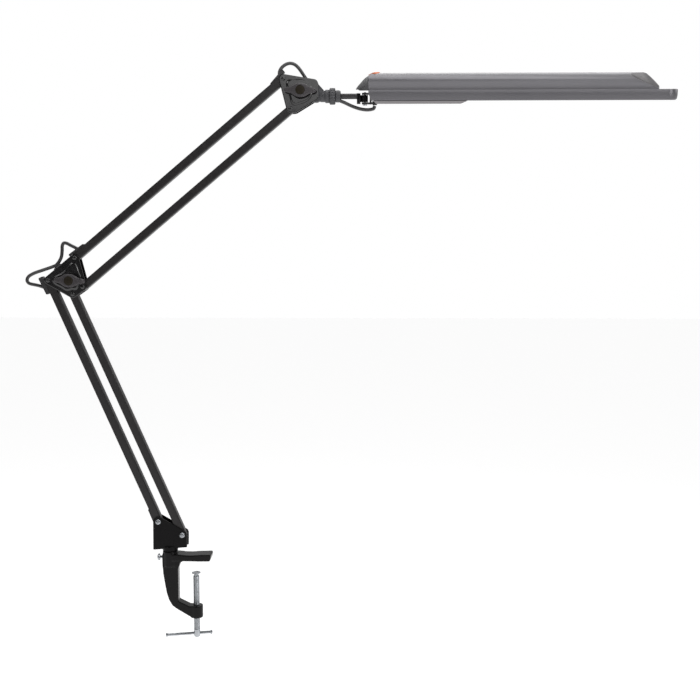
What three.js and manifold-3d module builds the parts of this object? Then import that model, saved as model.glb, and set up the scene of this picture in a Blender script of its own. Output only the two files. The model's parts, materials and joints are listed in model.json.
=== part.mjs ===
// Architect desk lamp: a screw clamp, two parallel-bar arms and a long fluorescent head.
// Millimetres, +Z up. The origin lies on the flat underside of the clamp's upper jaw,
// above the clamp spindle. +X runs towards the head and -Y is the side of the wing knobs.
import * as THREE from 'three';
import { mergeVertices } from 'three/addons/utils/BufferGeometryUtils.js';
import Module from 'manifold-3d';

const wasm = await Module();
wasm.setup();

// ---------------------------------------------------------------- driving dimensions
const GAP = 0.3;

// Clamp
const JAW = { left: -25, right: 22, top: 8, depth: 22 };
const SPINE_DEPTH = 15;
const SOCKET = { x: -36.8, r: 11.1, top: 12.5, boreR: 5.3, boreBottom: -12 };
const SPINDLE = { r: 4.5, top: -23, bottom: -116.9 };
const BOSS = { r: 9.3, top: -68.3, bottom: -86.9 };
const DISC = { r: 6.3, top: -20.3, bottom: -22.7 };
const TOMMY = { r: 2.1, length: 67, z: -111, offset: -11.5, yaw: THREE.MathUtils.degToRad(12), endR: 3.1 };
const LOCK = { z: 2.2, headLeft: -55.6, headRight: -51.6, headR: 5, shankR: 2, tip: -42.2 };

// Arms: angles rise from +X towards +Z
const BAR = { width: 11, depth: 12, wall: 1 };
const PIN_R = 2;
const LOWER = { length: 376, angle: THREE.MathUtils.degToRad(113.3) };
const UPPER = { length: 382, angle: THREE.MathUtils.degToRad(39.8) };
const BASE_LEFT = { x: -52.1, z: 55.8 };
const BASE_SPREAD = { x: 34.2, z: -19.3 };
const ELBOW_RISE = { x: 38.5, z: 31.3 };
const HEAD_SPREAD = { x: 10.2, z: -40.6 };
const PLATE = { inner: 6.3, thick: 1.2, baseThick: 1.5, lobe: 5.6, headLobe: 6 };
const ELBOW_HUB = { x: -168.5, z: 401 };
const HEAD_HUB = { x: 155, z: 660.2 };
const KNOB = { near: -20, far: -7.8, hubR: 7.4, bodyR: 9.2, reach: 19, tipR: 3 };
const BOLT_R = 2.5;
const LEAD_R = 2.35;

// Head: its own frame has the roll axis as X axis, and is rolled with the near edge down
const ROLL_Z = 653.6;
const HEAD_ROLL = THREE.MathUtils.degToRad(7.5);
const STUB = { r: 7.7, left: 182.5, right: 188.4, flangeR: 9, flangeRight: 194, boreLeft: 182 };
const COLLAR = { left: 194.3, right: 202.2, r: 11.2 };
const SLEEVE = { left: 202.5, right: 209.6, r: 8.2 };
const ROD = { r: 3.8, left: 183, flangeLeft: 231.9, flangeRight: 236.7, flangeHalf: 7.2 };
const SWIVEL = { x: 242.9, r: 4.2, top: 4.7, bottom: -10.9, eyeTop: 1.6, eyeBottom: -7.8, pinR: 1.6 };
const SHELL = { left: 247.8, right: 662.9, half: 36, bottom: -5.9, lipTop: 8.6, wall: 2, cornerR: 15 };
const ARCH = { half: 35.4, top: 30.4, topHalf: 13 };
const NOSE = [[640, 6], [638.2, 9.1], [636.2, 12.5], [633, 18.7], [629.3, 24.4], [624.3, 30.4]];
const CAP = { left: 230.1, bottom: 7.7, right: 247.5 };
const COVER = { left: 254.9, right: 380.7, bottom: -10, half: 34.4 };
const BUTTON = { x: 256.2, rx: 7.9, ry: 18, tilt: THREE.MathUtils.degToRad(-14), proud: 1.5, deep: 3.2 };
const LAMP = { baseLeft: 393, baseRight: 414, tubeR: 6, spread: 7.6, tip: 630, z: 8.5 };
const LEAD_EXIT = { x: 256.5, top: -6.4, bottom: -12 };

// ---------------------------------------------------------------- worked-out places
const along = (angle) => ({ x: Math.cos(angle), z: Math.sin(angle) });
const shift = (point, step) => ({ x: point.x + step.x, z: point.z + step.z });
const lengthen = (dir, length) => ({ x: dir.x * length, z: dir.z * length });

const BASE_RIGHT = shift(BASE_LEFT, BASE_SPREAD);
const LOWER_TOP_LEFT = shift(BASE_LEFT, lengthen(along(LOWER.angle), LOWER.length));
const LOWER_TOP_RIGHT = shift(LOWER_TOP_LEFT, BASE_SPREAD);
const UPPER_FOOT_TOP = shift(LOWER_TOP_LEFT, ELBOW_RISE);
const UPPER_FOOT_BOTTOM = shift(UPPER_FOOT_TOP, HEAD_SPREAD);
const UPPER_END_TOP = shift(UPPER_FOOT_TOP, lengthen(along(UPPER.angle), UPPER.length));
const UPPER_END_BOTTOM = shift(UPPER_END_TOP, HEAD_SPREAD);
const PLATE_OUTER = PLATE.inner + PLATE.thick;

// ---------------------------------------------------------------- materials
const finish = (color, roughness, metalness) => ({ color, roughness, metalness });
const BLACK_PAINT = finish(0x262427, 0.42, 0.3);
const BLACK_GLOSS = finish(0x17161a, 0.2, 0.3);
const BLACK_PLASTIC = finish(0x2b2b2d, 0.5, 0);
const CAST_BLACK = finish(0x1d1a1b, 0.35, 0.3);
const ZINC = finish(0xb4b9bd, 0.28, 1);
const GREY_PLASTIC = finish(0x57575b, 0.6, 0);
const ANTHRACITE = finish(0x6e6d72, 0.35, 0.6);
const DARK_TEXTURE = finish(0x56565a, 0.7, 0);
const ORANGE = finish(0xd9662b, 0.4, 0);
const WHITE_SHEET = finish(0xf0f0ee, 0.35, 0);
const LAMP_GLASS = finish(0xf6f5ef, 0.2, 0);
const CLEAR = finish(0xe8edf0, 0.15, 0);
const LEAD_BLACK = finish(0x28282a, 0.4, 0);
const SPRING_STEEL = finish(0x8d8f92, 0.35, 1);

// ---------------------------------------------------------------- solids
function toSolid(source) {
  let geometry = source.index ? source.toNonIndexed() : source.clone();
  geometry.deleteAttribute('normal');
  geometry.deleteAttribute('uv');
  geometry = mergeVertices(geometry, 1e-4);
  const position = geometry.attributes.position;
  const corners = geometry.index.array;
  const kept = [];
  let volume = 0;
  const a = new THREE.Vector3();
  const b = new THREE.Vector3();
  const c = new THREE.Vector3();
  for (let i = 0; i < corners.length; i += 3) {
    const [p, q, r] = corners.slice(i, i + 3);
    if (p !== q && q !== r && r !== p) {
      kept.push(p, q, r);
      a.fromBufferAttribute(position, p);
      b.fromBufferAttribute(position, q);
      c.fromBufferAttribute(position, r);
      volume += a.dot(b.cross(c));
    }
  }
  if (volume < 0) kept.reverse();
  return new wasm.Manifold(new wasm.Mesh({
    numProp: 3,
    vertProperties: Float32Array.from(position.array),
    triVerts: Uint32Array.from(kept),
  }));
}

function toGeometry(solid) {
  const mesh = solid.getMesh();
  const geometry = new THREE.BufferGeometry();
  geometry.setAttribute('position', new THREE.BufferAttribute(Float32Array.from(mesh.vertProperties), 3));
  geometry.setIndex(Array.from(mesh.triVerts));
  geometry.computeVertexNormals();
  return geometry;
}

function join(...solids) {
  return solids.reduce((whole, next) => whole.add(next));
}

function cut(solid, ...tools) {
  return tools.reduce((rest, tool) => rest.subtract(tool), solid);
}

function box(x0, x1, y0, y1, z0, z1) {
  const geometry = new THREE.BoxGeometry(x1 - x0, y1 - y0, z1 - z0);
  geometry.translate((x0 + x1) / 2, (y0 + y1) / 2, (z0 + z1) / 2);
  return toSolid(geometry);
}

function rodY(x, z, r, y0, y1, sides = 16) {
  const geometry = new THREE.CylinderGeometry(r, r, y1 - y0, sides);
  geometry.translate(x, (y0 + y1) / 2, z);
  return toSolid(geometry);
}

function rodZ(x, y, r, z0, z1, sides = 24) {
  const geometry = new THREE.CylinderGeometry(r, r, z1 - z0, sides);
  geometry.rotateX(Math.PI / 2);
  geometry.translate(x, y, (z0 + z1) / 2);
  return toSolid(geometry);
}

function rodX(y, z, r, x0, x1, sides = 24) {
  const geometry = new THREE.CylinderGeometry(r, r, x1 - x0, sides);
  geometry.rotateZ(-Math.PI / 2);
  geometry.translate((x0 + x1) / 2, y, z);
  return toSolid(geometry);
}

// A profile of [radius, height] pairs turned about the Z axis
function turned(profile, sides = 24) {
  const geometry = new THREE.LatheGeometry(profile.map(([r, h]) => new THREE.Vector2(r, h)), sides);
  geometry.rotateX(Math.PI / 2);
  return geometry;
}

// An outline in the XZ plane, made thick from y0 to y1
function slab(outline, y0, y1) {
  const shape = new THREE.Shape(outline.map(([x, z]) => new THREE.Vector2(x, z)));
  const geometry = new THREE.ExtrudeGeometry(shape, { depth: y1 - y0, bevelEnabled: false });
  geometry.rotateX(Math.PI / 2);
  geometry.translate(0, y1, 0);
  return toSolid(geometry);
}

// An outline in the XY plane, made thick from z0 to z1
function floorSlab(outline, z0, z1) {
  const shape = new THREE.Shape(outline.map(([x, y]) => new THREE.Vector2(x, y)));
  const geometry = new THREE.ExtrudeGeometry(shape, { depth: z1 - z0, bevelEnabled: false });
  geometry.translate(0, 0, z0);
  return toSolid(geometry);
}

// A section in the YZ plane, drawn out along X
function drawnOut(section, x0, x1) {
  const shape = new THREE.Shape(section.map(([y, z]) => new THREE.Vector2(y, z)));
  const geometry = new THREE.ExtrudeGeometry(shape, { depth: x1 - x0, bevelEnabled: false });
  const turn = new THREE.Matrix4().makeBasis(
    new THREE.Vector3(0, 1, 0),
    new THREE.Vector3(0, 0, 1),
    new THREE.Vector3(1, 0, 0),
  );
  geometry.applyMatrix4(turn);
  geometry.translate(x0, 0, 0);
  return toSolid(geometry);
}

// The tight outline round circles [x, z, r], given anticlockwise
function hull(circles, stepsPerArc = 5) {
  const normals = circles.map(([x, z, r], i) => {
    const [nextX, nextZ, nextR] = circles[(i + 1) % circles.length];
    const reach = Math.hypot(nextX - x, nextZ - z);
    return Math.atan2(nextZ - z, nextX - x) - Math.acos((r - nextR) / reach);
  });
  const outline = [];
  circles.forEach(([x, z, r], i) => {
    const from = normals[(i + circles.length - 1) % circles.length];
    let to = normals[i];
    while (to < from) to += 2 * Math.PI;
    for (let k = 0; k <= stepsPerArc; k += 1) {
      const angle = from + ((to - from) * k) / stepsPerArc;
      outline.push([x + r * Math.cos(angle), z + r * Math.sin(angle)]);
    }
  });
  return outline;
}

function circle(x, z, r, sides = 24) {
  return Array.from({ length: sides }, (_, k) => {
    const angle = (2 * Math.PI * k) / sides;
    return [x + r * Math.cos(angle), z + r * Math.sin(angle)];
  });
}

// A round lead through hand-picked points [x, y, z]
function leadTube(points, steps, r = LEAD_R) {
  const path = new THREE.CatmullRomCurve3(points.map(([x, y, z]) => new THREE.Vector3(x, y, z)));
  const sides = 8;
  const section = new THREE.Shape(circle(0, 0, r, sides).map(([x, y]) => new THREE.Vector2(x, y)));
  const geometry = new THREE.ExtrudeGeometry(section, { steps, extrudePath: path, bevelEnabled: false });
  return toSolid(geometry);
}

// ---------------------------------------------------------------- scene graph
const lamp = new THREE.Group();
const headGroup = new THREE.Group();
headGroup.position.z = ROLL_Z;
headGroup.rotation.x = HEAD_ROLL;
lamp.add(headGroup);

function addPart(name, solid, look, parent = lamp) {
  const mesh = new THREE.Mesh(toGeometry(solid), new THREE.MeshStandardMaterial(look));
  mesh.name = name;
  parent.add(mesh);
  return mesh;
}

function addAlongBar(name, solid, look, foot, angle) {
  const mesh = addPart(name, solid, look);
  mesh.position.set(foot.x, 0, foot.z);
  mesh.rotation.y = -angle;
}

// ---------------------------------------------------------------- clamp
function clampBody() {
  const spine = slab([
    [-47.9, 8], [-47.3, -15], [-44.1, -37.2], [-39.6, -58], [-33.9, -68.4], [-5.1, BOSS.bottom],
    [2, BOSS.bottom], [2, BOSS.top], [-9, BOSS.top], [-25, -60.9], [-25, 8],
  ], -SPINE_DEPTH / 2, SPINE_DEPTH / 2);
  const jaw = slab([
    [JAW.left - 8, 0], [JAW.right, 0], [JAW.right + 1.6, JAW.top - 1.5], [JAW.right, JAW.top],
    [4, JAW.top - 0.6], [JAW.left, JAW.top + 0.6], [JAW.left - 8, JAW.top + 0.6],
  ], -JAW.depth / 2, JAW.depth / 2);
  const shoulder = slab([
    [-44, -12], [-25, -12], [-25, 0], [-14, 0], [-14, 6], [-44, 6],
  ], -SPINE_DEPTH / 2, SPINE_DEPTH / 2);
  const socket = rodZ(SOCKET.x, 0, SOCKET.r, -10, SOCKET.top, 32);
  const boss = rodZ(0, 0, BOSS.r, BOSS.bottom, BOSS.top, 32);
  return cut(
    join(spine, jaw, shoulder, socket, boss),
    rodZ(SOCKET.x, 0, SOCKET.boreR, SOCKET.boreBottom, SOCKET.top + 1),
    rodZ(0, 0, SPINDLE.r + GAP, BOSS.bottom - 1, BOSS.top + 1),
    rodX(0, LOCK.z, LOCK.shankR + GAP, SOCKET.x - 20, SOCKET.x, 16),
  );
}

function lockScrew() {
  const head = rodX(0, LOCK.z, LOCK.headR, LOCK.headLeft, LOCK.headRight, 24);
  const slot = box(LOCK.headLeft - 1, LOCK.headLeft + 1.2, -0.7, 0.7, LOCK.z - 6, LOCK.z + 6);
  return cut(head, slot).add(rodX(0, LOCK.z, LOCK.shankR, LOCK.headRight - 1, LOCK.tip, 16));
}

function pressureDisc() {
  return toSolid(turned([
    [0, DISC.bottom], [4.2, DISC.bottom], [DISC.r, DISC.top - 1], [DISC.r, DISC.top], [0, DISC.top],
  ], 28));
}

function tommyBarPlaced(solidOfLength) {
  return solidOfLength.rotate([0, 0, THREE.MathUtils.radToDeg(TOMMY.yaw)]).translate([0, 0, TOMMY.z]);
}

function clampSpindle() {
  const screw = toSolid(turned([
    [0, SPINDLE.bottom], [3.6, SPINDLE.bottom], [SPINDLE.r, SPINDLE.bottom + 1.2],
    [SPINDLE.r, SPINDLE.top - 2.5], [3, SPINDLE.top - 1.5], [3, SPINDLE.top], [0, SPINDLE.top],
  ], 28));
  return cut(screw, tommyBarPlaced(rodX(0, 0, TOMMY.r + GAP, -8, 8, 16)));
}

function tommyBar() {
  const half = TOMMY.length / 2;
  const end = 2.4;
  return tommyBarPlaced(join(
    rodX(0, 0, TOMMY.r, TOMMY.offset - half, TOMMY.offset + half, 16),
    rodX(0, 0, TOMMY.endR, TOMMY.offset - half, TOMMY.offset - half + end, 16),
    rodX(0, 0, TOMMY.endR, TOMMY.offset + half - end, TOMMY.offset + half, 16),
  ));
}

// ---------------------------------------------------------------- base bracket
const WEB_BOTTOM = 19.4;

function baseBracket() {
  const flange = hull([
    [BASE_LEFT.x, BASE_LEFT.z, 7.4], [-59, 16, 1], [-12.3, 19.8, 1], [BASE_RIGHT.x, BASE_RIGHT.z, 6.9],
  ]);
  const far = PLATE.inner + PLATE.baseThick;
  const hub = rodZ(SOCKET.x, 0, SOCKET.r, SOCKET.top + GAP, WEB_BOTTOM + 0.5, 32);
  return cut(
    join(
      slab(flange, -far, -PLATE.inner),
      slab(flange, PLATE.inner, far),
      box(-54, -16, -far, far, WEB_BOTTOM, WEB_BOTTOM + PLATE.baseThick),
      hub.intersect(box(-60, 0, -far - 3, far + 3, 0, 30)),
    ),
    rodZ(SOCKET.x, 0, 3.3, 0, 30, 20),
    rodY(BASE_LEFT.x, BASE_LEFT.z, PIN_R + GAP, -10, 10),
    rodY(BASE_RIGHT.x, BASE_RIGHT.z, PIN_R + GAP, -10, 10),
  );
}

function swivelPin() {
  const headBottom = WEB_BOTTOM + PLATE.baseThick + GAP;
  const pin = turned([
    [0, -11], [4, -11], [5, -10], [5, SOCKET.top - 0.2], [3, SOCKET.top - 0.2], [3, headBottom],
    [5, headBottom], [4.4, headBottom + 1.8], [0, headBottom + 1.8],
  ], 24);
  pin.translate(SOCKET.x, 0, 0);
  return toSolid(pin);
}

function addBaseScrews() {
  const face = PLATE.inner + PLATE.baseThick + GAP;
  const nutOuter = face + 3.2;
  [['left', BASE_LEFT], ['right', BASE_RIGHT]].forEach(([side, { x, z }]) => {
    const recess = join(
      box(x - 2.2, x + 2.2, -face - 3, -face - 1.4, z - 0.5, z + 0.5),
      box(x - 0.5, x + 0.5, -face - 3, -face - 1.4, z - 2.2, z + 2.2),
    );
    const screw = cut(rodY(x, z, 4.15, -face - 2.4, -face, 24), recess).add(rodY(x, z, PIN_R, -face - 1, nutOuter + 1));
    const nut = cut(rodY(x, z, 4, face, nutOuter, 6), rodY(x, z, PIN_R + GAP, face - 1, nutOuter + 1, 16));
    addPart(`base_screw_${side}`, screw, ZINC);
    addPart(`base_nut_${side}`, nut, ZINC);
  });
}

// ---------------------------------------------------------------- bars, in their own frame
// Local X runs from the foot pivot to the end pivot, and the open side of the channel is +Z.
function barChannel(length) {
  const half = BAR.width / 2;
  const inside = BAR.depth / 2 - BAR.wall;
  const outline = hull([[0, 0, half], [length, 0, half]], 8);
  return cut(
    slab(outline, -BAR.depth / 2, BAR.depth / 2),
    box(-10, length + 10, -inside, inside, BAR.wall - half, half + 1),
    rodY(0, 0, PIN_R + GAP, -10, 10),
    rodY(length, 0, PIN_R + GAP, -10, 10),
  );
}

// A lead clip that snaps onto the open side of a bar: outer wedge and inner plug
function leadClip(from, to, offFrom, offTo) {
  const half = BAR.width / 2;
  const wedge = slab([
    [from, half + GAP], [to, half + GAP], [to, offTo - 1], [to - 1, offTo], [from + 1, offFrom], [from, offFrom - 1],
  ], -5.2, 5.2);
  return wedge.add(box(from + 1, to - 1, -4.4, 4.4, 3.1, half + GAP + 0.5));
}

function coilSpring(from, to) {
  const profile = [[0, from]];
  const turns = 11;
  const pitch = (to - from) / turns;
  for (let k = 0; k < turns; k += 1) {
    profile.push([3.1, from + k * pitch + 0.1], [3.7, from + (k + 0.5) * pitch]);
  }
  profile.push([3.1, to - 0.1], [0, to]);
  const spring = turned(profile, 8);
  spring.rotateY(Math.PI / 2);
  return toSolid(spring);
}

function addLowerArm() {
  const place = (name, solid, look, foot) => addAlongBar(name, solid, look, foot, LOWER.angle);
  place('lower_bar_left', barChannel(LOWER.length), BLACK_PAINT, BASE_LEFT);
  place('lower_bar_right', barChannel(LOWER.length), BLACK_PAINT, BASE_RIGHT);
  place('lower_spring', coilSpring(60, 210), SPRING_STEEL, BASE_RIGHT);
  place('lower_clip_bottom', leadClip(9, 24, 8.2, 6.9), BLACK_PLASTIC, BASE_LEFT);
  place('lower_clip_top', leadClip(LOWER.length - 16.4, LOWER.length - 6, 11.7, 11.7), BLACK_PLASTIC, BASE_LEFT);
  place('lower_lead', rodX(0, 0, LEAD_R, 12, LOWER.length - 10, 10), LEAD_BLACK, BASE_LEFT);
}

function addUpperArm() {
  const place = (name, solid, look, foot) => addAlongBar(name, solid, look, foot, UPPER.angle);
  place('upper_bar_top', barChannel(UPPER.length), BLACK_PAINT, UPPER_FOOT_TOP);
  place('upper_bar_bottom', barChannel(UPPER.length), BLACK_PAINT, UPPER_FOOT_BOTTOM);
  place('upper_spring', coilSpring(60, 210), SPRING_STEEL, UPPER_FOOT_BOTTOM);
  place('upper_clip_bottom', leadClip(9.2, 21.6, 11.6, 8.1), BLACK_PLASTIC, UPPER_FOOT_TOP);
  place('upper_clip_top', leadClip(UPPER.length - 18, UPPER.length - 4.5, 7.8, 8), BLACK_PLASTIC, UPPER_FOOT_TOP);
  place('upper_lead', rodX(0, 0, LEAD_R, 10, UPPER.length - 10, 10), LEAD_BLACK, UPPER_FOOT_TOP);
}

// ---------------------------------------------------------------- brackets and knobs
function pinHoles(places, r = PIN_R + GAP) {
  return places.map(({ x, z }) => rodY(x, z, r, -10, 10));
}

function rivet({ x, z }) {
  const face = PLATE_OUTER + GAP;
  return join(
    rodY(x, z, PIN_R, -face - 0.5, face + 0.5),
    rodY(x, z, 3.4, -face - 1.1, -face),
    rodY(x, z, 3.4, face, face + 1.1),
  );
}

function wingKnob({ x, z }, tilt) {
  const wings = hull([[-KNOB.reach, 0, KNOB.tipR], [0, 0, KNOB.bodyR - 1.2], [KNOB.reach, 0, KNOB.tipR],
    [0, 0.01, KNOB.bodyR - 1.2]], 6);
  const knob = join(
    rodY(0, 0, KNOB.hubR, KNOB.near + 1.5, KNOB.far, 28),
    slab(wings, KNOB.near, KNOB.near + 7),
  );
  return cut(knob, rodY(0, 0, BOLT_R + GAP, KNOB.near + 3, KNOB.far + 1, 20))
    .rotate([0, tilt, 0]).translate([x, 0, z]);
}

function hexBolt({ x, z }) {
  const back = PLATE_OUTER + GAP;
  return rodY(x, z, BOLT_R, KNOB.near + 3.5, back + 1, 20).add(rodY(x, z, 4.6, back, back + 3.4, 6));
}

function addElbow() {
  const corners = [LOWER_TOP_LEFT, LOWER_TOP_RIGHT, UPPER_FOOT_BOTTOM, UPPER_FOOT_TOP];
  const outline = hull(corners.map(({ x, z }) => [x, z, PLATE.lobe]));
  const holes = [...pinHoles(corners), ...pinHoles([ELBOW_HUB], BOLT_R + GAP)];
  addPart('elbow_plate_front', cut(slab(outline, -PLATE_OUTER, -PLATE.inner), ...holes), BLACK_GLOSS);
  addPart('elbow_plate_rear', cut(slab(outline, PLATE.inner, PLATE_OUTER), ...holes), BLACK_GLOSS);
  addPart('elbow_pin_lower_left', rivet(LOWER_TOP_LEFT), ZINC);
  addPart('elbow_pin_lower_right', rivet(LOWER_TOP_RIGHT), ZINC);
  addPart('elbow_pin_upper_top', rivet(UPPER_FOOT_TOP), ZINC);
  addPart('elbow_pin_upper_bottom', rivet(UPPER_FOOT_BOTTOM), ZINC);
  addPart('elbow_bolt', hexBolt(ELBOW_HUB), ZINC);
  const spacer = cut(
    rodY(ELBOW_HUB.x, ELBOW_HUB.z, 4.5, GAP - PLATE.inner, PLATE.inner - GAP),
    rodY(ELBOW_HUB.x, ELBOW_HUB.z, BOLT_R + GAP, -10, 10),
  );
  addPart('elbow_spacer', spacer, ZINC);
  addPart('elbow_knob', wingKnob(ELBOW_HUB, 3), BLACK_PLASTIC);
}

// The saddle sits between the plates and holds the lead clear of their upper left edge.
const SADDLE = { along: 22, half: 6, leadOff: 9.8 };

function elbowSaddle() {
  const rise = Math.atan2(ELBOW_RISE.z, ELBOW_RISE.x);
  const floor = SADDLE.leadOff - LEAD_R - GAP;
  const saddle = join(
    box(SADDLE.along - SADDLE.half, SADDLE.along + SADDLE.half, -5.9, 5.9, -1, floor),
    box(SADDLE.along - 4, SADDLE.along + 4, -LEAD_R - GAP - 1.4, -LEAD_R - GAP, floor - 1, SADDLE.leadOff + 1.6),
    box(SADDLE.along - 4, SADDLE.along + 4, LEAD_R + GAP, LEAD_R + GAP + 1.4, floor - 1, SADDLE.leadOff + 1.6),
  );
  return saddle.rotate([0, -THREE.MathUtils.radToDeg(rise), 0]).translate([LOWER_TOP_LEFT.x, 0, LOWER_TOP_LEFT.z]);
}

function addElbowLeads() {
  const lower = [
    [-210.3, 0, 391.5], [-216.2, 0, 393.4], [-223.4, 0, 394.9], [-229.8, 0, 396.6], [-232.6, 0, 400.7],
    [-230.2, 0, 406.2], [-221.9, 0, 411], [-210, 0, 415.1], [-199.5, 0, 418.6], [-191.2, 0, 421.7],
  ];
  const upper = [
    [-190.1, 0, 422.7], [-186.4, 0, 427.2], [-182.9, 0, 434.2], [-181.7, 0, 443], [-181.3, 0, 449.4],
    [-179, 0, 453], [-174.6, 0, 452.6], [-169.4, 0, 449.8], [-164.8, 0, 447.6],
  ];
  addPart('elbow_saddle', elbowSaddle(), BLACK_PLASTIC);
  addPart('elbow_lead_lower', leadTube(lower, 18), LEAD_BLACK);
  addPart('elbow_lead_upper', leadTube(upper, 18), LEAD_BLACK);
}

function addHeadBracket() {
  const r = PLATE.headLobe;
  const outline = hull([
    [UPPER_END_TOP.x, UPPER_END_TOP.z, r], [UPPER_END_BOTTOM.x, UPPER_END_BOTTOM.z, r],
    [146.9, 636.8, r], [172.9, 652.5, r], [172.9, 670, r],
  ]);
  const holes = [...pinHoles([UPPER_END_TOP, UPPER_END_BOTTOM]), ...pinHoles([HEAD_HUB], BOLT_R + GAP)];
  addPart('head_plate_front', cut(slab(outline, -PLATE_OUTER, -PLATE.inner), ...holes), BLACK_GLOSS);
  addPart('head_plate_rear', cut(slab(outline, PLATE.inner, PLATE_OUTER), ...holes), BLACK_GLOSS);
  addPart('head_pin_top', rivet(UPPER_END_TOP), ZINC);
  addPart('head_pin_bottom', rivet(UPPER_END_BOTTOM), ZINC);
  addPart('head_bolt', hexBolt(HEAD_HUB), ZINC);
  addPart('head_knob', wingKnob(HEAD_HUB, 1), BLACK_PLASTIC);
  const loop = [
    [125.3, 0, 683], [126, 0, 688], [129.4, 0, 693.4], [134.8, 0, 697.4], [141, 0, 698.9],
    [147, 0, 697], [152.3, 0, 692], [157, 0, 685], [161.4, 0, 678.4], [164.6, 0, 673.6],
  ];
  addPart('head_loop_lead', leadTube(loop, 18), LEAD_BLACK);
}

// ---------------------------------------------------------------- tilt stub, collar and rod
function tiltStub() {
  const cheek = hull([[HEAD_HUB.x, HEAD_HUB.z, 12], [176, 652.6, STUB.r - 0.6]], 12);
  const shoulder = [[164, 650], [186.5, 650], [186.5, 661.4], [178.5, 670.2], [164, 666]];
  const halfCheek = PLATE.inner - GAP - 0.1;
  return cut(
    join(
      slab(cheek, -halfCheek, halfCheek),
      slab(shoulder, -halfCheek, halfCheek),
      rodX(0, ROLL_Z, STUB.r, STUB.left, STUB.right, 28),
      rodX(0, ROLL_Z, STUB.flangeR, STUB.right, STUB.flangeRight, 28),
    ),
    rodY(HEAD_HUB.x, HEAD_HUB.z, BOLT_R + GAP, -10, 10),
    rodX(0, ROLL_Z, ROD.r + GAP, STUB.boreLeft, STUB.flangeRight + 1, 24),
  );
}

function collarRing() {
  const bore = rodX(0, ROLL_Z, ROD.r + GAP, COLLAR.left - 1, COLLAR.right + 1, 24);
  const ribs = Array.from({ length: 18 }, (_, k) => {
    const angle = (2 * Math.PI * k) / 18;
    return rodX(COLLAR.r * Math.cos(angle), ROLL_Z + COLLAR.r * Math.sin(angle), 0.9, COLLAR.left - 1, COLLAR.right + 1, 6);
  });
  return cut(rodX(0, ROLL_Z, COLLAR.r, COLLAR.left, COLLAR.right, 36), bore, ...ribs);
}

function rodSleeve() {
  return cut(
    rodX(0, ROLL_Z, SLEEVE.r, SLEEVE.left, SLEEVE.right, 28),
    rodX(0, ROLL_Z, ROD.r + GAP, SLEEVE.left - 1, SLEEVE.right + 1, 24),
  );
}

function swivelRod() {
  const eyeMiddle = (SWIVEL.eyeTop + SWIVEL.eyeBottom) / 2;
  return cut(
    join(
      rodX(0, 0, ROD.r, ROD.left, ROD.flangeLeft + 1, 24),
      box(ROD.flangeLeft, ROD.flangeRight, -4.6, 4.6, eyeMiddle - ROD.flangeHalf, eyeMiddle + ROD.flangeHalf),
      box(ROD.flangeRight - 1, SWIVEL.x, -3, 3, SWIVEL.eyeBottom, SWIVEL.eyeTop),
      rodZ(SWIVEL.x, 0, SWIVEL.r, SWIVEL.eyeBottom, SWIVEL.eyeTop, 24),
    ),
    rodZ(SWIVEL.x, 0, SWIVEL.pinR + GAP, -30, 30, 16),
  );
}

function swivelBracket() {
  const inside = 252;
  const gapTop = SWIVEL.eyeTop + GAP;
  const gapBottom = SWIVEL.eyeBottom - GAP;
  const lid = (z0, z1) => rodZ(SWIVEL.x, 0, SWIVEL.r, z0, z1, 24).add(box(SWIVEL.x, inside, -SWIVEL.r, SWIVEL.r, z0, z1));
  return cut(
    join(
      lid(gapTop, SWIVEL.top),
      lid(SWIVEL.bottom, gapBottom),
      box(inside - 2.6, inside, -SWIVEL.r, SWIVEL.r, SWIVEL.bottom, SWIVEL.top),
    ),
    rodZ(SWIVEL.x, 0, SWIVEL.pinR + GAP, -30, 30, 16),
  );
}

function swivelBolt() {
  return rodZ(SWIVEL.x, 0, SWIVEL.pinR, SWIVEL.bottom - 1, SWIVEL.top + 0.6, 16)
    .add(rodZ(SWIVEL.x, 0, 3, SWIVEL.bottom - 1.6, SWIVEL.bottom - GAP, 20));
}

// ---------------------------------------------------------------- head casing, in the head's frame
// The arched section, grown or shrunk by a distance, closed along a flat bottom
function archSection(grow, bottom) {
  const half = ARCH.half + grow;
  const top = ARCH.top + grow;
  const topHalf = ARCH.topHalf + grow / 2;
  const side = new THREE.CubicBezierCurve(
    new THREE.Vector2(half, 9),
    new THREE.Vector2(half - 0.4, 19),
    new THREE.Vector2(half - 8, top - 0.2),
    new THREE.Vector2(topHalf, top),
  ).getPoints(9).map(({ x, y }) => [x, y]);
  const mirrored = side.map(([y, z]) => [-y, z]).reverse();
  return [[half, bottom], ...side, ...mirrored, [-half, bottom]];
}

// Plan outline of the tray: square at the left, round corners at the right end
function trayPlan(left, right, half, cornerR) {
  const steps = 6;
  const corner = (sign) => Array.from({ length: steps + 1 }, (_, k) => {
    const angle = (sign * Math.PI * (sign < 0 ? steps - k : k)) / (2 * steps);
    return [right - cornerR + cornerR * Math.cos(angle), sign * (half - cornerR) + cornerR * Math.sin(angle)];
  });
  return [[left, -half], ...corner(-1), ...corner(1), [left, half]];
}

// A large block beyond a plane, for slicing corners off
function beyond(point, normal) {
  const size = 90;
  const geometry = new THREE.BoxGeometry(size, size, size);
  geometry.translate(0, 0, size / 2);
  const turn = new THREE.Quaternion().setFromUnitVectors(new THREE.Vector3(0, 0, 1), normal.clone().normalize());
  geometry.applyQuaternion(turn);
  geometry.translate(point.x, point.y, point.z);
  return toSolid(geometry);
}

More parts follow.
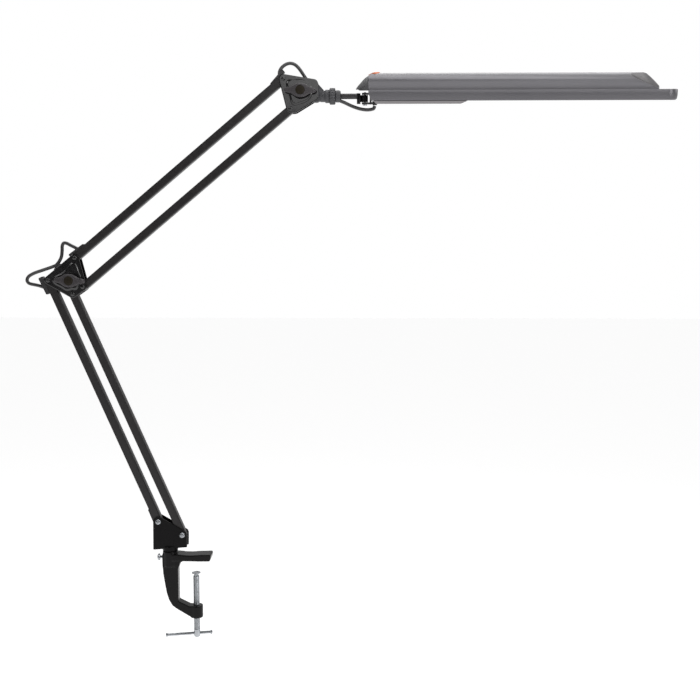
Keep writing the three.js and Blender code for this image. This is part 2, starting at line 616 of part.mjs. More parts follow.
function canopy(shrink) {
  const left = SHELL.left + shrink;
  const profile = [
    [left, SHELL.bottom - 3], [640 - shrink, SHELL.bottom - 3], ...NOSE.map(([x, z]) => [x - shrink, z - shrink * 0.3]),
    [256, ARCH.top + 1], [left, 27.2 - shrink * 0.5],
  ];
  const arch = drawnOut(archSection(-shrink, SHELL.bottom - 2), left, 642);
  const facets = [-1, 1].map((side) => beyond(
    new THREE.Vector3(602 - shrink * 1.5, side * 21, 27 - shrink),
    new THREE.Vector3(0.18, side * 0.526, 0.831),
  ));
  return cut(arch.intersect(slab(profile, -60, 60)), ...facets);
}

function buttonColumn(grow) {
  const column = floorSlab(circle(0, 0, 1, 28).map(([x, y]) => [x * (BUTTON.rx + grow), y * (BUTTON.ry + grow)]), -16, 16);
  return column.rotate([0, THREE.MathUtils.radToDeg(BUTTON.tilt), 0]).translate([BUTTON.x, 0, 27]);
}

function headShell() {
  const tray = floorSlab(trayPlan(SHELL.left, SHELL.right, SHELL.half, SHELL.cornerR), SHELL.bottom, SHELL.lipTop);
  const trayVoid = floorSlab(
    trayPlan(SHELL.left + SHELL.wall, SHELL.right - SHELL.wall, SHELL.half - SHELL.wall, SHELL.cornerR - SHELL.wall),
    SHELL.bottom - 1, SHELL.lipTop - SHELL.wall,
  );
  const outer = canopy(0).intersect(box(SHELL.left, 700, -60, 60, SHELL.bottom, 60));
  return cut(
    join(tray, outer),
    trayVoid,
    canopy(SHELL.wall).intersect(box(SHELL.left, 700, -60, 60, SHELL.bottom - 1, 60)),
    slab([[SHELL.left - 9, 13.6], [SHELL.left - 9, -20], [SHELL.left + 18.2, -20]], -60, 60),
    box(SHELL.left - 5, SHELL.left + 6, -SWIVEL.r - 0.5, SWIVEL.r + 0.5, SWIVEL.bottom - 1, SWIVEL.top + GAP),
    buttonColumn(0.5),
  );
}

function headEndCap() {
  const profile = (inset) => [
    [CAP.left + inset, CAP.bottom - 1], [CAP.right + 1, CAP.bottom - 1], [CAP.right + 1, 26.9 - inset],
    [242.5, 23.4 - inset], [236.8, 16.9 - inset * 1.1], [232.1 + inset, 11.7 - inset * 0.4],
  ];
  const plan = (inset) => {
    const half = ARCH.half - inset;
    const left = CAP.left + inset;
    return [[left, -half + 13], [left + 2.2, -half + 6.5], [left + 7, -half + 1.8], [left + 13, -half], [CAP.right + 1, -half],
      [CAP.right + 1, half], [left + 13, half], [left + 7, half - 1.8], [left + 2.2, half - 6.5], [left, half - 13]];
  };
  const body = (inset) => drawnOut(archSection(-inset, 0), CAP.left, CAP.right + 1)
    .intersect(slab(profile(inset), -60, 60))
    .intersect(floorSlab(plan(inset), -5, 40));
  const outer = body(0).intersect(box(CAP.left - 1, CAP.right, -60, 60, CAP.bottom, 60));
  return cut(outer, body(SHELL.wall).intersect(box(CAP.left, CAP.right - SHELL.wall, -60, 60, CAP.bottom - 1, 60)));
}

function powerButton() {
  const far = 40;
  const skin = drawnOut(archSection(BUTTON.proud, 0), BUTTON.x - far, BUTTON.x + far)
    .intersect(slab([[200, -9], [300, -9], [300, 32], [257, 32], [249.5, 29.6], [238, 22], [200, 0]], -60, 60));
  const under = drawnOut(archSection(-BUTTON.deep, -1), BUTTON.x - far - 1, BUTTON.x + far + 1);
  return cut(skin, under).intersect(buttonColumn(0));
}

function ballastCover() {
  const low = slab([
    [COVER.left, SHELL.bottom - GAP], [258.1, COVER.bottom], [372.4, COVER.bottom], [COVER.right, SHELL.bottom - GAP],
  ], -COVER.half, COVER.half);
  const plug = box(257.5, COVER.right - 1.5, -33.2, 33.2, SHELL.bottom - 1, SHELL.bottom + 2.4);
  const hollow = box(260.5, 370, -31, 31, COVER.bottom + 1.8, SHELL.bottom + 3);
  return cut(low.add(plug), hollow, box(376, 377.4, -1.4, 1.4, -20, -6.9));
}

function leadGrommet() {
  const wedge = slab([
    [240, 13.3], [COVER.left - GAP, SHELL.bottom - 0.6], [258.1 - GAP, COVER.bottom - GAP],
    [300, COVER.bottom - GAP], [300, 40], [240, 40],
  ], -20, 20);
  return cut(rodZ(LEAD_EXIT.x, 0, 3.6, LEAD_EXIT.bottom, LEAD_EXIT.top, 20), wedge);
}

function reflector() {
  const arch = (half, top) => {
    const points = Array.from({ length: 13 }, (_, k) => {
      const angle = (Math.PI * k) / 12;
      return [half * Math.cos(angle), -2.6 + (top + 2.6) * Math.sin(angle) ** 0.8];
    });
    return points;
  };
  const outer = drawnOut(arch(31, 23), 416, 622);
  return cut(outer, drawnOut(arch(30, 22).concat([[-30, -6], [30, -6]]), 415, 623));
}

function diffuser() {
  const plan = trayPlan(384.5, SHELL.right - 3.2, SHELL.half - 3, SHELL.cornerR - 3);
  return floorSlab(plan, SHELL.bottom + 0.5, SHELL.bottom + 2.5);
}

function twinTubeLamp() {
  const { tubeR, spread, tip, z, baseLeft, baseRight } = LAMP;
  const bridgeX = tip - 14;
  const tube = (y) => rodX(y, z, tubeR, baseRight - 1, tip, 16);
  return join(
    box(baseLeft, baseRight, -15.5, 15.5, z - 7.5, z + 7.5),
    tube(spread),
    tube(-spread),
    rodY(bridgeX, z, 3.4, -spread, spread, 12),
  );
}

function addHeadInnards() {
  addPart('reflector', reflector(), WHITE_SHEET, headGroup);
  addPart('diffuser', diffuser(), CLEAR, headGroup);
  addPart('lamp_tube', twinTubeLamp(), LAMP_GLASS, headGroup);
  addPart('lamp_holder', box(374, LAMP.baseLeft - GAP, -17, 17, -1, 18), WHITE_SHEET, headGroup);
  addPart('ballast', box(263, 366, -22, 22, -1, 21), GREY_PLASTIC, headGroup);
}

function addHead() {
  addPart('tilt_stub', tiltStub(), GREY_PLASTIC);
  addPart('collar_ring', collarRing(), GREY_PLASTIC);
  addPart('rod_sleeve', rodSleeve(), GREY_PLASTIC);
  addPart('swivel_rod', swivelRod(), BLACK_PLASTIC, headGroup);
  addPart('swivel_bracket', swivelBracket(), BLACK_PLASTIC, headGroup);
  addPart('swivel_bolt', swivelBolt(), ZINC, headGroup);
  addPart('head_shell', headShell(), ANTHRACITE, headGroup);
  addPart('head_end_cap', headEndCap(), DARK_TEXTURE, headGroup);
  addPart('ballast_cover', ballastCover(), ANTHRACITE, headGroup);
  addPart('power_button', powerButton(), ORANGE, headGroup);
  addPart('lead_grommet', leadGrommet(), BLACK_PLASTIC, headGroup);
  addHeadInnards();
  const route = [
    [211, 0, 646.7], [215.9, 0, 644.7], [221.5, 0, 642], [228.6, 0, 639], [236.5, 0, 636.6],
    [244.4, 0, 635.4], [250.4, 0, 635.7], [254.9, 0, 637.1], [256.4, 0, 640.5],
  ];
  addPart('lead_to_head', leadTube(route, 16), LEAD_BLACK);
}

addPart('clamp_body', clampBody(), CAST_BLACK);
addPart('lock_screw', lockScrew(), ZINC);
addPart('pressure_disc', pressureDisc(), ZINC);
addPart('clamp_spindle', clampSpindle(), ZINC);
addPart('tommy_bar', tommyBar(), ZINC);
addPart('base_bracket', baseBracket(), BLACK_GLOSS);
addPart('swivel_pin', swivelPin(), ZINC);
addBaseScrews();
addLowerArm();
addElbow();
addElbowLeads();
addUpperArm();
addHeadBracket();
addHead();

export default lamp;
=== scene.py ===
"""Looks of a clamp-on architect desk lamp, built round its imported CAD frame.

Shapes are given in millimetres, in the CAD's own frame, and are scaled to metres as they are made.
"""
import json
import math

import bmesh
import bpy
from mathutils import Matrix, Vector


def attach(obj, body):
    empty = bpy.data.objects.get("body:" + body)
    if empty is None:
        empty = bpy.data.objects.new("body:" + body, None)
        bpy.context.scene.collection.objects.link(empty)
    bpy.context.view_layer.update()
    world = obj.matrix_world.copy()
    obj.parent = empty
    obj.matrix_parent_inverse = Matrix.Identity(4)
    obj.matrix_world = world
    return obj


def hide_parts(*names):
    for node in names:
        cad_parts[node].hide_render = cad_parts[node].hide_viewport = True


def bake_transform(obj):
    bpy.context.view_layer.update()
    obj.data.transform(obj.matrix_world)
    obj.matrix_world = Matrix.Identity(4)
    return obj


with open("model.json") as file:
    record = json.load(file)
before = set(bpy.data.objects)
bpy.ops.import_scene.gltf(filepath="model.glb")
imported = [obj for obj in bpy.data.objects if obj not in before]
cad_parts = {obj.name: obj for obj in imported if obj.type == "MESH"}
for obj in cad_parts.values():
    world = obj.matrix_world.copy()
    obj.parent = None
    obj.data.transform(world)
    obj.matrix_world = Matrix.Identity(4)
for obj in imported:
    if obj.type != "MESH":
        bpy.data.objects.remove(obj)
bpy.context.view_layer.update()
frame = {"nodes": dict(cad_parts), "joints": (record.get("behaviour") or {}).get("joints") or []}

MM = 0.001
HEAD_ROLL = math.radians(7.5)
PIVOT = {j["name"]: Vector(j["pos_m"]) / MM for j in frame["joints"] if "pos_m" in j}


def xz(point):
    return (point[0], point[2])


def in_plane(points):
    """Points (x, z) of the lamp's middle plane, as (x, y, z)."""
    return [(x, 0, z) for x, z in points]


def shifted(point, step, sign=1):
    return (point[0] + sign * step[0], point[1] + sign * step[1])


def polar(radius, angle, x=0.0, y=0.0):
    """The point at an angle on a circle about (x, y)."""
    return (x + radius * math.cos(angle), y + radius * math.sin(angle))


def turned_at(point, angle):
    """The frame at a point (x, z) of the middle plane, turned about the Y axis."""
    return Matrix.Translation((point[0], 0, point[1])) @ Matrix.Rotation(angle, 4, "Y")


BASE_LEFT = xz(PIVOT["lower_arm"])
BASE_RIGHT = xz(PIVOT["lower_link"])
BASE_SPREAD = shifted(BASE_RIGHT, BASE_LEFT, -1)
LOWER_TOP_LEFT = xz(PIVOT["elbow_level"])
LOWER_TOP_RIGHT = shifted(LOWER_TOP_LEFT, BASE_SPREAD)
UPPER_FOOT_TOP = xz(PIVOT["upper_arm"])
UPPER_FOOT_BOTTOM = xz(PIVOT["upper_link"])
UPPER_SPREAD = shifted(UPPER_FOOT_BOTTOM, UPPER_FOOT_TOP, -1)
UPPER_END_TOP = xz(PIVOT["head_level"])
UPPER_END_BOTTOM = shifted(UPPER_END_TOP, UPPER_SPREAD)
ELBOW_HUB = xz(PIVOT["elbow_knob_turn"])
HEAD_HUB = xz(PIVOT["head_tilt"])
ROLL_Z = PIVOT["head_roll"][2]
SWIVEL_X = PIVOT["head_swivel"][0]
SOCKET_X = PIVOT["base_swivel"][0]


# ---- camera, lights and floor
def aim(obj, place, target):
    obj.location = place
    obj.rotation_mode = "QUATERNION"
    obj.rotation_quaternion = (Vector(target) - Vector(place)).to_track_quat("-Z", "Y")
    bpy.context.scene.collection.objects.link(obj)
    return obj


CAMERA_AT = (0.2574, -1.484, 0.4615)
CAMERA_FORWARD = (-0.02345, 0.99409, -0.10600)
FOCAL_MM = 54.51
SENSOR_MM = 36
CLIP_M = (0.05, 60)
FLOOR_AT = (0.2, 0, -0.72)
FLOOR_HALF_M = 14
# The room's grey levels, by a direction's Z and by its Y, at shares of the way from -1 to 1.
ROOM_UPWARD = [(0, 0.5), (0.48, 0.5), (0.56, 0.55), (0.8, 1), (1, 1)]
ROOM_INWARD = [(0, 0.05), (0.3, 0.12), (0.5, 0.5), (0.75, 0.85), (1, 0.8)]


def add_camera():
    place = Vector(CAMERA_AT)
    data = bpy.data.cameras.new("camera")
    data.sensor_width = SENSOR_MM
    data.lens = FOCAL_MM
    data.clip_start, data.clip_end = CLIP_M
    target = place + Vector(CAMERA_FORWARD)
    bpy.context.scene.camera = aim(bpy.data.objects.new("camera", data), place, target)


def area_light(name, place, target, size, power):
    data = bpy.data.lights.new(name, "AREA")
    data.shape = "RECTANGLE"
    data.size, data.size_y = size
    data.energy = power
    aim(bpy.data.objects.new(name, data), place, target)


def brightness_by(tree, value, stops):
    """A grey level read off a ramp, for a direction component that runs from -1 to 1."""
    share = tree.nodes.new("ShaderNodeMapRange")
    share.inputs["From Min"].default_value = -1
    ramp_node = tree.nodes.new("ShaderNodeValToRGB")
    ramp = ramp_node.color_ramp
    ramp.elements[0].position = stops[0][0]
    ramp.elements[1].position = stops[-1][0]
    for position, _ in stops[1:-1]:
        ramp.elements.new(position)
    for element, (_, level) in zip(ramp.elements, stops):
        element.color = (level, level, level, 1)
    tree.links.new(value, share.inputs["Value"])
    tree.links.new(share.outputs["Result"], ramp_node.inputs["Fac"])
    return ramp_node.outputs["Color"]


def add_world():
    """A white backdrop for the camera, and for reflections a room that is bright all round but in front."""
    world = bpy.data.worlds.new("studio")
    bpy.context.scene.world = world
    world.use_nodes = True
    tree = world.node_tree
    tree.nodes.clear()
    kinds = ("OutputWorld", "MixShader", "Background", "Background", "LightPath", "TexCoord",
             "SeparateXYZ", "MixRGB")
    output, mix, backdrop, room, path, coords, split, shade = (
        tree.nodes.new(f"ShaderNode{kind}") for kind in kinds
    )
    shade.blend_type = "MULTIPLY"
    shade.inputs["Fac"].default_value = 1
    backdrop.inputs["Color"].default_value = (1, 1, 1, 1)
    for background in (backdrop, room):
        background.inputs["Strength"].default_value = 1.0
    for source, socket in (
        (coords.outputs["Generated"], split.inputs[0]),
        (brightness_by(tree, split.outputs["Z"], ROOM_UPWARD), shade.inputs["Color1"]),
        (brightness_by(tree, split.outputs["Y"], ROOM_INWARD), shade.inputs["Color2"]),
        (shade.outputs["Color"], room.inputs["Color"]),
        (path.outputs["Is Camera Ray"], mix.inputs["Fac"]),
        (room.outputs[0], mix.inputs[1]),
        (backdrop.outputs[0], mix.inputs[2]),
        (mix.outputs[0], output.inputs["Surface"]),
    ):
        tree.links.new(source, socket)
    bpy.context.scene.view_settings.view_transform = "Standard"


def add_floor():
    bm = bmesh.new()
    bmesh.ops.create_grid(bm, x_segments=8, y_segments=8, size=FLOOR_HALF_M)
    mesh = mesh_of(bm, "floor")
    floor = bpy.data.objects.new("floor", mesh)
    floor.location = FLOOR_AT
    bpy.context.scene.collection.objects.link(floor)
    material = bpy.data.materials.new("floor_paper")
    material.use_nodes = True
    shader = material.node_tree.nodes["Principled BSDF"]
    shader.inputs["Base Color"].default_value = (0.93, 0.93, 0.93, 1)
    shader.inputs["Roughness"].default_value = 0.9
    shader.inputs["Emission Color"].default_value = (1, 1, 1, 1)
    shader.inputs["Emission Strength"].default_value = 0.55
    mesh.materials.append(material)


# ---- materials
NOISE_LOW, NOISE_HIGH = 0.3, 0.7
COAT_ROUGHNESS = 0.08
LEAST_ROUGHNESS = 0.02


def surface(name, base, roughness, drift_scale, grain_scale, metallic=0.0, drift=0.12, grain=0.1,
            grain_depth=0.00005, polish=0.06, coat=0.0, transmission=0.0, flakes=0.0, specular=0.5):
    """A painted, moulded or plated surface: slow tone drift, uneven polish and fine grain."""
    material = bpy.data.materials.new(f"look_{name}")
    material.use_nodes = True
    tree = material.node_tree
    nodes, links = tree.nodes, tree.links
    shader = nodes["Principled BSDF"]
    shader.inputs["Metallic"].default_value = metallic
    shader.inputs["Coat Weight"].default_value = coat
    shader.inputs["Coat Roughness"].default_value = COAT_ROUGHNESS
    shader.inputs["Transmission Weight"].default_value = transmission
    shader.inputs["Specular IOR Level"].default_value = specular
    coords = nodes.new("ShaderNodeTexCoord")

    def noise(scale, detail):
        made = nodes.new("ShaderNodeTexNoise")
        made.inputs["Scale"].default_value = scale
        made.inputs["Detail"].default_value = detail
        links.new(coords.outputs["Object"], made.inputs["Vector"])
        return made

    slow = noise(drift_scale, 4)
    fine = noise(grain_scale, 2)
    tones = nodes.new("ShaderNodeValToRGB")
    for element, position, gain in zip(tones.color_ramp.elements, (NOISE_LOW, NOISE_HIGH), (-drift, drift)):
        element.position = position
        element.color = (*[min(1, c * (1 + gain)) for c in base], 1)
    links.new(slow.outputs["Fac"], tones.inputs["Fac"])
    colour = tones.outputs["Color"]
    if flakes:
        glint = nodes.new("ShaderNodeMixRGB")
        glint.blend_type = "OVERLAY"
        glint.inputs["Fac"].default_value = flakes
        links.new(colour, glint.inputs["Color1"])
        links.new(fine.outputs["Fac"], glint.inputs["Color2"])
        colour = glint.outputs["Color"]
    links.new(colour, shader.inputs["Base Color"])
    rub = nodes.new("ShaderNodeMapRange")
    rub.inputs["From Min"].default_value = NOISE_LOW
    rub.inputs["From Max"].default_value = NOISE_HIGH
    rub.inputs["To Min"].default_value = max(LEAST_ROUGHNESS, roughness - polish)
    rub.inputs["To Max"].default_value = roughness + polish
    links.new(noise(drift_scale * 4, 3).outputs["Fac"], rub.inputs["Value"])
    links.new(rub.outputs["Result"], shader.inputs["Roughness"])
    bump = nodes.new("ShaderNodeBump")
    bump.inputs["Strength"].default_value = grain
    bump.inputs["Distance"].default_value = grain_depth
    links.new(fine.outputs["Fac"], bump.inputs["Height"])
    links.new(bump.outputs["Normal"], shader.inputs["Normal"])
    return material


# Look: name, colour, roughness, drift and grain scale, and what else sets it apart.
MATERIALS = {
    "cast": surface(
        "cast_enamel", (0.004, 0.0036, 0.0038), 0.24, 60, 420, grain=0.35,
        grain_depth=0.0002, coat=0.05, specular=0.15
    ),
    "bar": surface(
        "bar_paint", (0.013, 0.0115, 0.012), 0.36, 40, 2600, grain=0.25, specular=0.4
    ),
    "plate": surface(
        "plate_gloss", (0.0075, 0.007, 0.0075), 0.16, 50, 500, grain=0.12,
        grain_depth=0.00008, coat=0.5, polish=0.04
    ),
    "bracket": surface(
        "bracket_paint", (0.004, 0.0037, 0.004), 0.3, 50, 1800, grain=0.2, specular=0.12
    ),
    "zinc": surface(
        "zinc_plate", (0.36, 0.375, 0.395), 0.2, 160, 1400, metallic=1, drift=0.14,
        grain=0.15, polish=0.08
    ),
    "spring": surface("spring_wire", (0.28, 0.29, 0.31), 0.28, 220, 3000, metallic=1),
    "nylon": surface("black_nylon", (0.021, 0.02, 0.0215), 0.42, 70, 2200, grain=0.4),
    "knob": surface(
        "knob_nylon", (0.036, 0.032, 0.035), 0.46, 80, 1900, grain=0.5,
        grain_depth=0.0001, specular=0.35
    ),
    "knob_cap": surface(
        "knob_cap", (0.014, 0.0105, 0.0055), 0.5, 120, 1600, grain=0.5,
        grain_depth=0.0001, specular=0.15
    ),
    "grey": surface(
        "spark_grey", (0.04, 0.04, 0.044), 0.55, 700, 950, drift=0.3, grain=0.9,
        grain_depth=0.0004
    ),
    "cap": surface(
        "spark_cap", (0.036, 0.035, 0.038), 0.55, 600, 850, drift=0.3, grain=0.9,
        grain_depth=0.0004
    ),
    "shell": surface(
        "anthracite", (0.112, 0.109, 0.118), 0.36, 14, 5200, metallic=0.6, drift=0.03,
        grain=0.12, grain_depth=0.00003, coat=0.12, polish=0.03, flakes=0.12
    ),
    "cover": surface(
        "cover_grey", (0.19, 0.18, 0.185), 0.4, 18, 4200, metallic=0.5, drift=0.04,
        grain=0.15, grain_depth=0.00003, polish=0.03
    ),
    "button": surface(
        "button_orange", (0.72, 0.16, 0.03), 0.34, 90, 2400, drift=0.06, grain=0.25
    ),
    "sheet": surface(
        "white_enamel", (0.82, 0.82, 0.8), 0.3, 20, 600, drift=0.03, grain=0.1, coat=0.3
    ),
    "holder": surface(
        "white_moulding", (0.76, 0.755, 0.73), 0.42, 60, 1500, drift=0.04, grain=0.2
    ),
    "ballast": surface("ballast_case", (0.1, 0.1, 0.11), 0.5, 70, 1200, grain=0.5),
    "tube": surface(
        "phosphor_glass", (0.9, 0.895, 0.86), 0.12, 80, 900, drift=0.03, grain=0.05,
        coat=0.6, polish=0.03
    ),
    "clear": surface(
        "ribbed_acrylic", (0.92, 0.95, 0.96), 0.12, 40, 700, drift=0.02, grain=0.05,
        transmission=0.85, polish=0.03
    ),
    "lead": surface(
        "lead_jacket", (0.024, 0.023, 0.024), 0.3, 160, 1700, drift=0.2, grain=0.2,
        coat=0.2
    ),
}


# ---- meshes, in millimetres
def mesh_of(bm, name="shape"):
    """The bmesh as a mesh, with the bmesh freed."""
    mesh = bpy.data.meshes.new(name)
    bm.to_mesh(mesh)
    bm.free()
    return mesh


def mesh_from(verts, faces, place=None):
    """A closed mesh in metres from points in millimetres, with its normals outward."""
    place = place or Matrix.Identity(4)
    bm = bmesh.new()
    made = [bm.verts.new((place @ Vector(v)) * MM) for v in verts]
    for face in faces:
        bm.faces.new([made[i] for i in face])
    bmesh.ops.recalc_face_normals(bm, faces=bm.faces)
    return mesh_of(bm)


def prism(outline, low, high, plane="XZ", place=None):
    """A closed outline in one plane, made thick along the third axis."""
    spread = {
        "XZ": lambda a, b, t: (a, t, b),
        "XY": lambda a, b, t: (a, b, t),
        "YZ": lambda a, b, t: (t, a, b),
    }[plane]
    count = len(outline)
    verts = [spread(a, b, t) for t in (low, high) for a, b in outline]
    sides = [(i, (i + 1) % count, (i + 1) % count + count, i + count) for i in range(count)]
    return mesh_from(verts, [range(count), range(2 * count - 1, count - 1, -1), *sides], place)


def block(x0, x1, y0, y1, z0, z1, place=None):
    return prism([(x0, z0), (x1, z0), (x1, z1), (x0, z1)], y0, y1, place=place)


def loft(rings, closed_ends=True, place=None):
    """Rings of equal point count, joined side by side."""
    count = len(rings[0])
    verts = [point for ring in rings for point in ring]
    faces = []
    for k in range(len(rings) - 1):
        for i in range(count):
            a, b = k * count + i, k * count + (i + 1) % count
            faces.append((a, b, b + count, a + count))
    if closed_ends:
        last = (len(rings) - 1) * count
        faces.append(range(count))
        faces.append(range(last + count - 1, last - 1, -1))
    return mesh_from(verts, faces, place)


ALONG = {
    "X": Matrix.Rotation(math.pi / 2, 4, "Y"),
    "Y": Matrix.Rotation(-math.pi / 2, 4, "X"),
    "Z": Matrix.Identity(4),
}


def lathe(profile, axis="Z", at=(0, 0, 0), sides=48, place=None):
    """A profile of (radius, distance along the axis) turned about an axis through a point."""
    where = (place or Matrix.Identity(4)) @ Matrix.Translation(at) @ ALONG[axis]
    verts, rings, faces = [], [], []
    for radius, height in profile:
        steps = 1 if radius < 1e-6 else sides
        rings.append(range(len(verts), len(verts) + steps))
        for i in range(steps):
            angle = 2 * math.pi * i / sides
            verts.append((*polar(radius, angle), height))
    for low, high in zip(rings, rings[1:]):
        for i in range(sides):
            j = i + 1
            quad = [low[i % len(low)], low[j % len(low)], high[j % len(high)], high[i % len(high)]]
            if len(set(quad)) > 2:
                faces.append(list(dict.fromkeys(quad)))
    faces += [list(ring) for ring in (rings[0], rings[-1]) if len(ring) > 1]
    return mesh_from(verts, faces, where)


def smooth_path(points, per_span=6, closed=False):
    """Catmull-Rom points through the given ones."""
    points = [Vector(p) for p in points]
    count = len(points)
    spans = count if closed else count - 1
    path = []
    for i in range(spans):
        if closed:
            a, b, c, d = (points[(i + k) % count] for k in (-1, 0, 1, 2))
        else:
            b, c = points[i], points[i + 1]
            a = points[i - 1] if i else b + (b - c)
            d = points[i + 2] if i + 2 < count else c + (c - b)
        for k in range(per_span):
            t = k / per_span
            path.append(0.5 * (2 * b + (c - a) * t + (2 * a - 5 * b + 4 * c - d) * t * t
                               + (3 * b - a - 3 * c + d) * t ** 3))
    if not closed:
        path.append(points[-1])
    return path


def sweep(path, radius, sides=12, place=None):
    """A round tube along a path; radius may be a number or a function of the share of the way."""
    path = [Vector(p) for p in path]
    last = len(path) - 1
    normal = Vector((0, 1, 0))
    rings = []
    for i, point in enumerate(path):
        tangent = (path[min(i + 1, last)] - path[max(i - 1, 0)]).normalized()
        side = tangent.cross(normal).normalized()
        normal = side.cross(tangent).normalized()
        r = radius(i / last) if callable(radius) else radius
        rings.append([
            point + r * (math.cos(a) * normal + math.sin(a) * side)
            for a in (2 * math.pi * k / sides for k in range(sides))
        ])
    return loft(rings, place=place)


def hull(circles, steps=10):
    """The tight outline round circles (x, z, r), given anticlockwise."""
    normals = []
    for i, (x, z, r) in enumerate(circles):
        x2, z2, r2 = circles[(i + 1) % len(circles)]
        reach = math.hypot(x2 - x, z2 - z)
        normals.append(math.atan2(z2 - z, x2 - x) - math.acos((r - r2) / reach))
    outline = []
    for i, (x, z, r) in enumerate(circles):
        start, end = normals[i - 1], normals[i]
        while end < start:
            end += 2 * math.pi
        for k in range(steps + 1):
            angle = start + (end - start) * k / steps
            outline.append(polar(r, angle, x, z))
    return outline


def shaped(mesh, *steps):
    """Boolean steps ("UNION" or another operation, mesh) and modifier steps (type, settings), in turn."""
    scene = bpy.context.scene.collection
    work = bpy.data.objects.new("work", mesh)
    scene.objects.link(work)
    helpers = [work]
    for kind, value in steps:
        if kind in ("UNION", "DIFFERENCE", "INTERSECT"):
            tool = bpy.data.objects.new("tool", value)
            scene.objects.link(tool)
            helpers.append(tool)
            modifier = work.modifiers.new("step", "BOOLEAN")
            modifier.solver = "EXACT"
            modifier.operation = kind
            modifier.object = tool
        else:
            modifier = work.modifiers.new("step", kind)
            for key, setting in value.items():
                setattr(modifier, key, setting)
    bpy.context.view_layer.update()
    made = bpy.data.meshes.new_from_object(work.evaluated_get(bpy.context.evaluated_depsgraph_get()))
    for helper in helpers:
        bpy.data.objects.remove(helper)
    return made


def joined(mesh, *others):
    return shaped(mesh, *[("UNION", other) for other in others])


def cut(mesh, *tools):
    return shaped(mesh, *[("DIFFERENCE", tool) for tool in tools])


def overlap(mesh, *others):
    return shaped(mesh, *[("INTERSECT", other) for other in others])


def merged(*meshes):
    """Several meshes as one, each still its own closed body."""
    bm = bmesh.new()
    for mesh in meshes:
        bm.from_mesh(mesh)
    return mesh_of(bm)


# ---- pieces
BEVEL_ANGLE = math.radians(32)


def paint(obj, look):
    obj.data.materials.clear()
    obj.data.materials.append(MATERIALS[look])


def make_piece(name, mesh, look, bevel=0.0, segments=2, sharp=40):
    mesh.name = name
    for polygon in mesh.polygons:
        polygon.use_smooth = True
    obj = bpy.data.objects.new(name, mesh)
    bpy.context.scene.collection.objects.link(obj)
    if bevel:
        modifier = obj.modifiers.new("edge", "BEVEL")
        modifier.width = bevel * MM
        modifier.segments = segments
        modifier.limit_method = "ANGLE"
        modifier.angle_limit = BEVEL_ANGLE
        modifier.harden_normals = True
    else:
        mesh.set_sharp_from_angle(angle=math.radians(sharp))
    paint(obj, look)
    return obj


def add_piece(name, mesh, look, body, stands_for=None, **edge):
    """A piece on a body; it stands for the CAD nodes given, or else for the one of its own name."""
    obj = make_piece(name, mesh, look, **edge)
    if stands_for is None:
        stands_for = [node for node in (name.replace("-", "_"),) if node in frame["nodes"]]
    if stands_for:
        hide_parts(*stands_for)
    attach(obj, body)
    return obj


def keep_node(node, look):
    """A CAD node that is shown as it is, with a detailed material."""
    paint(frame["nodes"][node], look)


# ---- clamp
JAW_TOP = 8
SPINE_HALF = 7.5
JAW_HALF = 11
SPINDLE_R = 4.5
PITCH = 1.5
TOMMY_Z = -111
TOMMY_YAW = math.radians(12)
TOMMY_R = 2.1
HOLE_GAP = 0.25
CAST_VOXEL_M = 0.0008
STEPS_PER_TURN = 8


def clamp_casting():
    spine = prism([
        (-47.9, 8), (-47.6, -8), (-46.4, -22), (-44.1, -37.2), (-42, -49), (-39.2, -58.6), (-34.4, -67.6),
        (-28, -72.6), (-5.1, -86.4), (2, -86.4), (2, -68.8), (-9, -68.8), (-25, -61), (-25, 8),
    ], -SPINE_HALF, SPINE_HALF)
    jaw = prism([
        (-33, -0.6), (-20, -0.9), (6, -1.4), (20.6, -1.2), (22.2, 0.6), (23.6, 7), (22, JAW_TOP + 0.9),
        (8, JAW_TOP + 0.6), (-6, JAW_TOP - 0.5), (-15, JAW_TOP - 0.3), (-25, JAW_TOP + 0.8),
        (-33, JAW_TOP + 0.8),
    ], -JAW_HALF - 0.4, JAW_HALF + 0.4)
    shoulder = prism([(-32, -16), (-25.6, -16), (-21.5, -4), (-14, -0.6), (-14, 5), (-32, 5)],
                     -SPINE_HALF + 0.2, SPINE_HALF - 0.2)
    socket = lathe([(11, -10), (11, 12.2)], at=(SOCKET_X, 0, 0))
    boss = lathe([(9.2, -86.6), (9.2, -68.6)])
    body = joined(spine, jaw, shoulder, socket, boss)
    cast = shaped(
        body,
        ("REMESH", {"mode": "VOXEL", "voxel_size": CAST_VOXEL_M}),
        ("SMOOTH", {"factor": 0.5, "iterations": 7}),
    )
    return cut(
        cast,
        lathe([(SPINDLE_R + HOLE_GAP, -90), (SPINDLE_R + HOLE_GAP, -60)]),
        lathe([(5.3, -12), (5.3, 13.5)], at=(SOCKET_X, 0, 0)),
    )


def threaded(bottom, top, radius, depth, sides=28):
    """A screw thread of triangular section, cut into a round bar."""
    steps = int((top - bottom) / PITCH * STEPS_PER_TURN)
    rings = []
    for k in range(steps + 1):
        z = bottom + (top - bottom) * k / steps
        ring = []
        for i in range(sides):
            turn = i / sides
            phase = (z / PITCH - turn) % 1
            r = radius - depth * (1 - abs(2 * phase - 1))
            ring.append((*polar(r, 2 * math.pi * turn), z))
        rings.append(ring)
    return loft(rings)


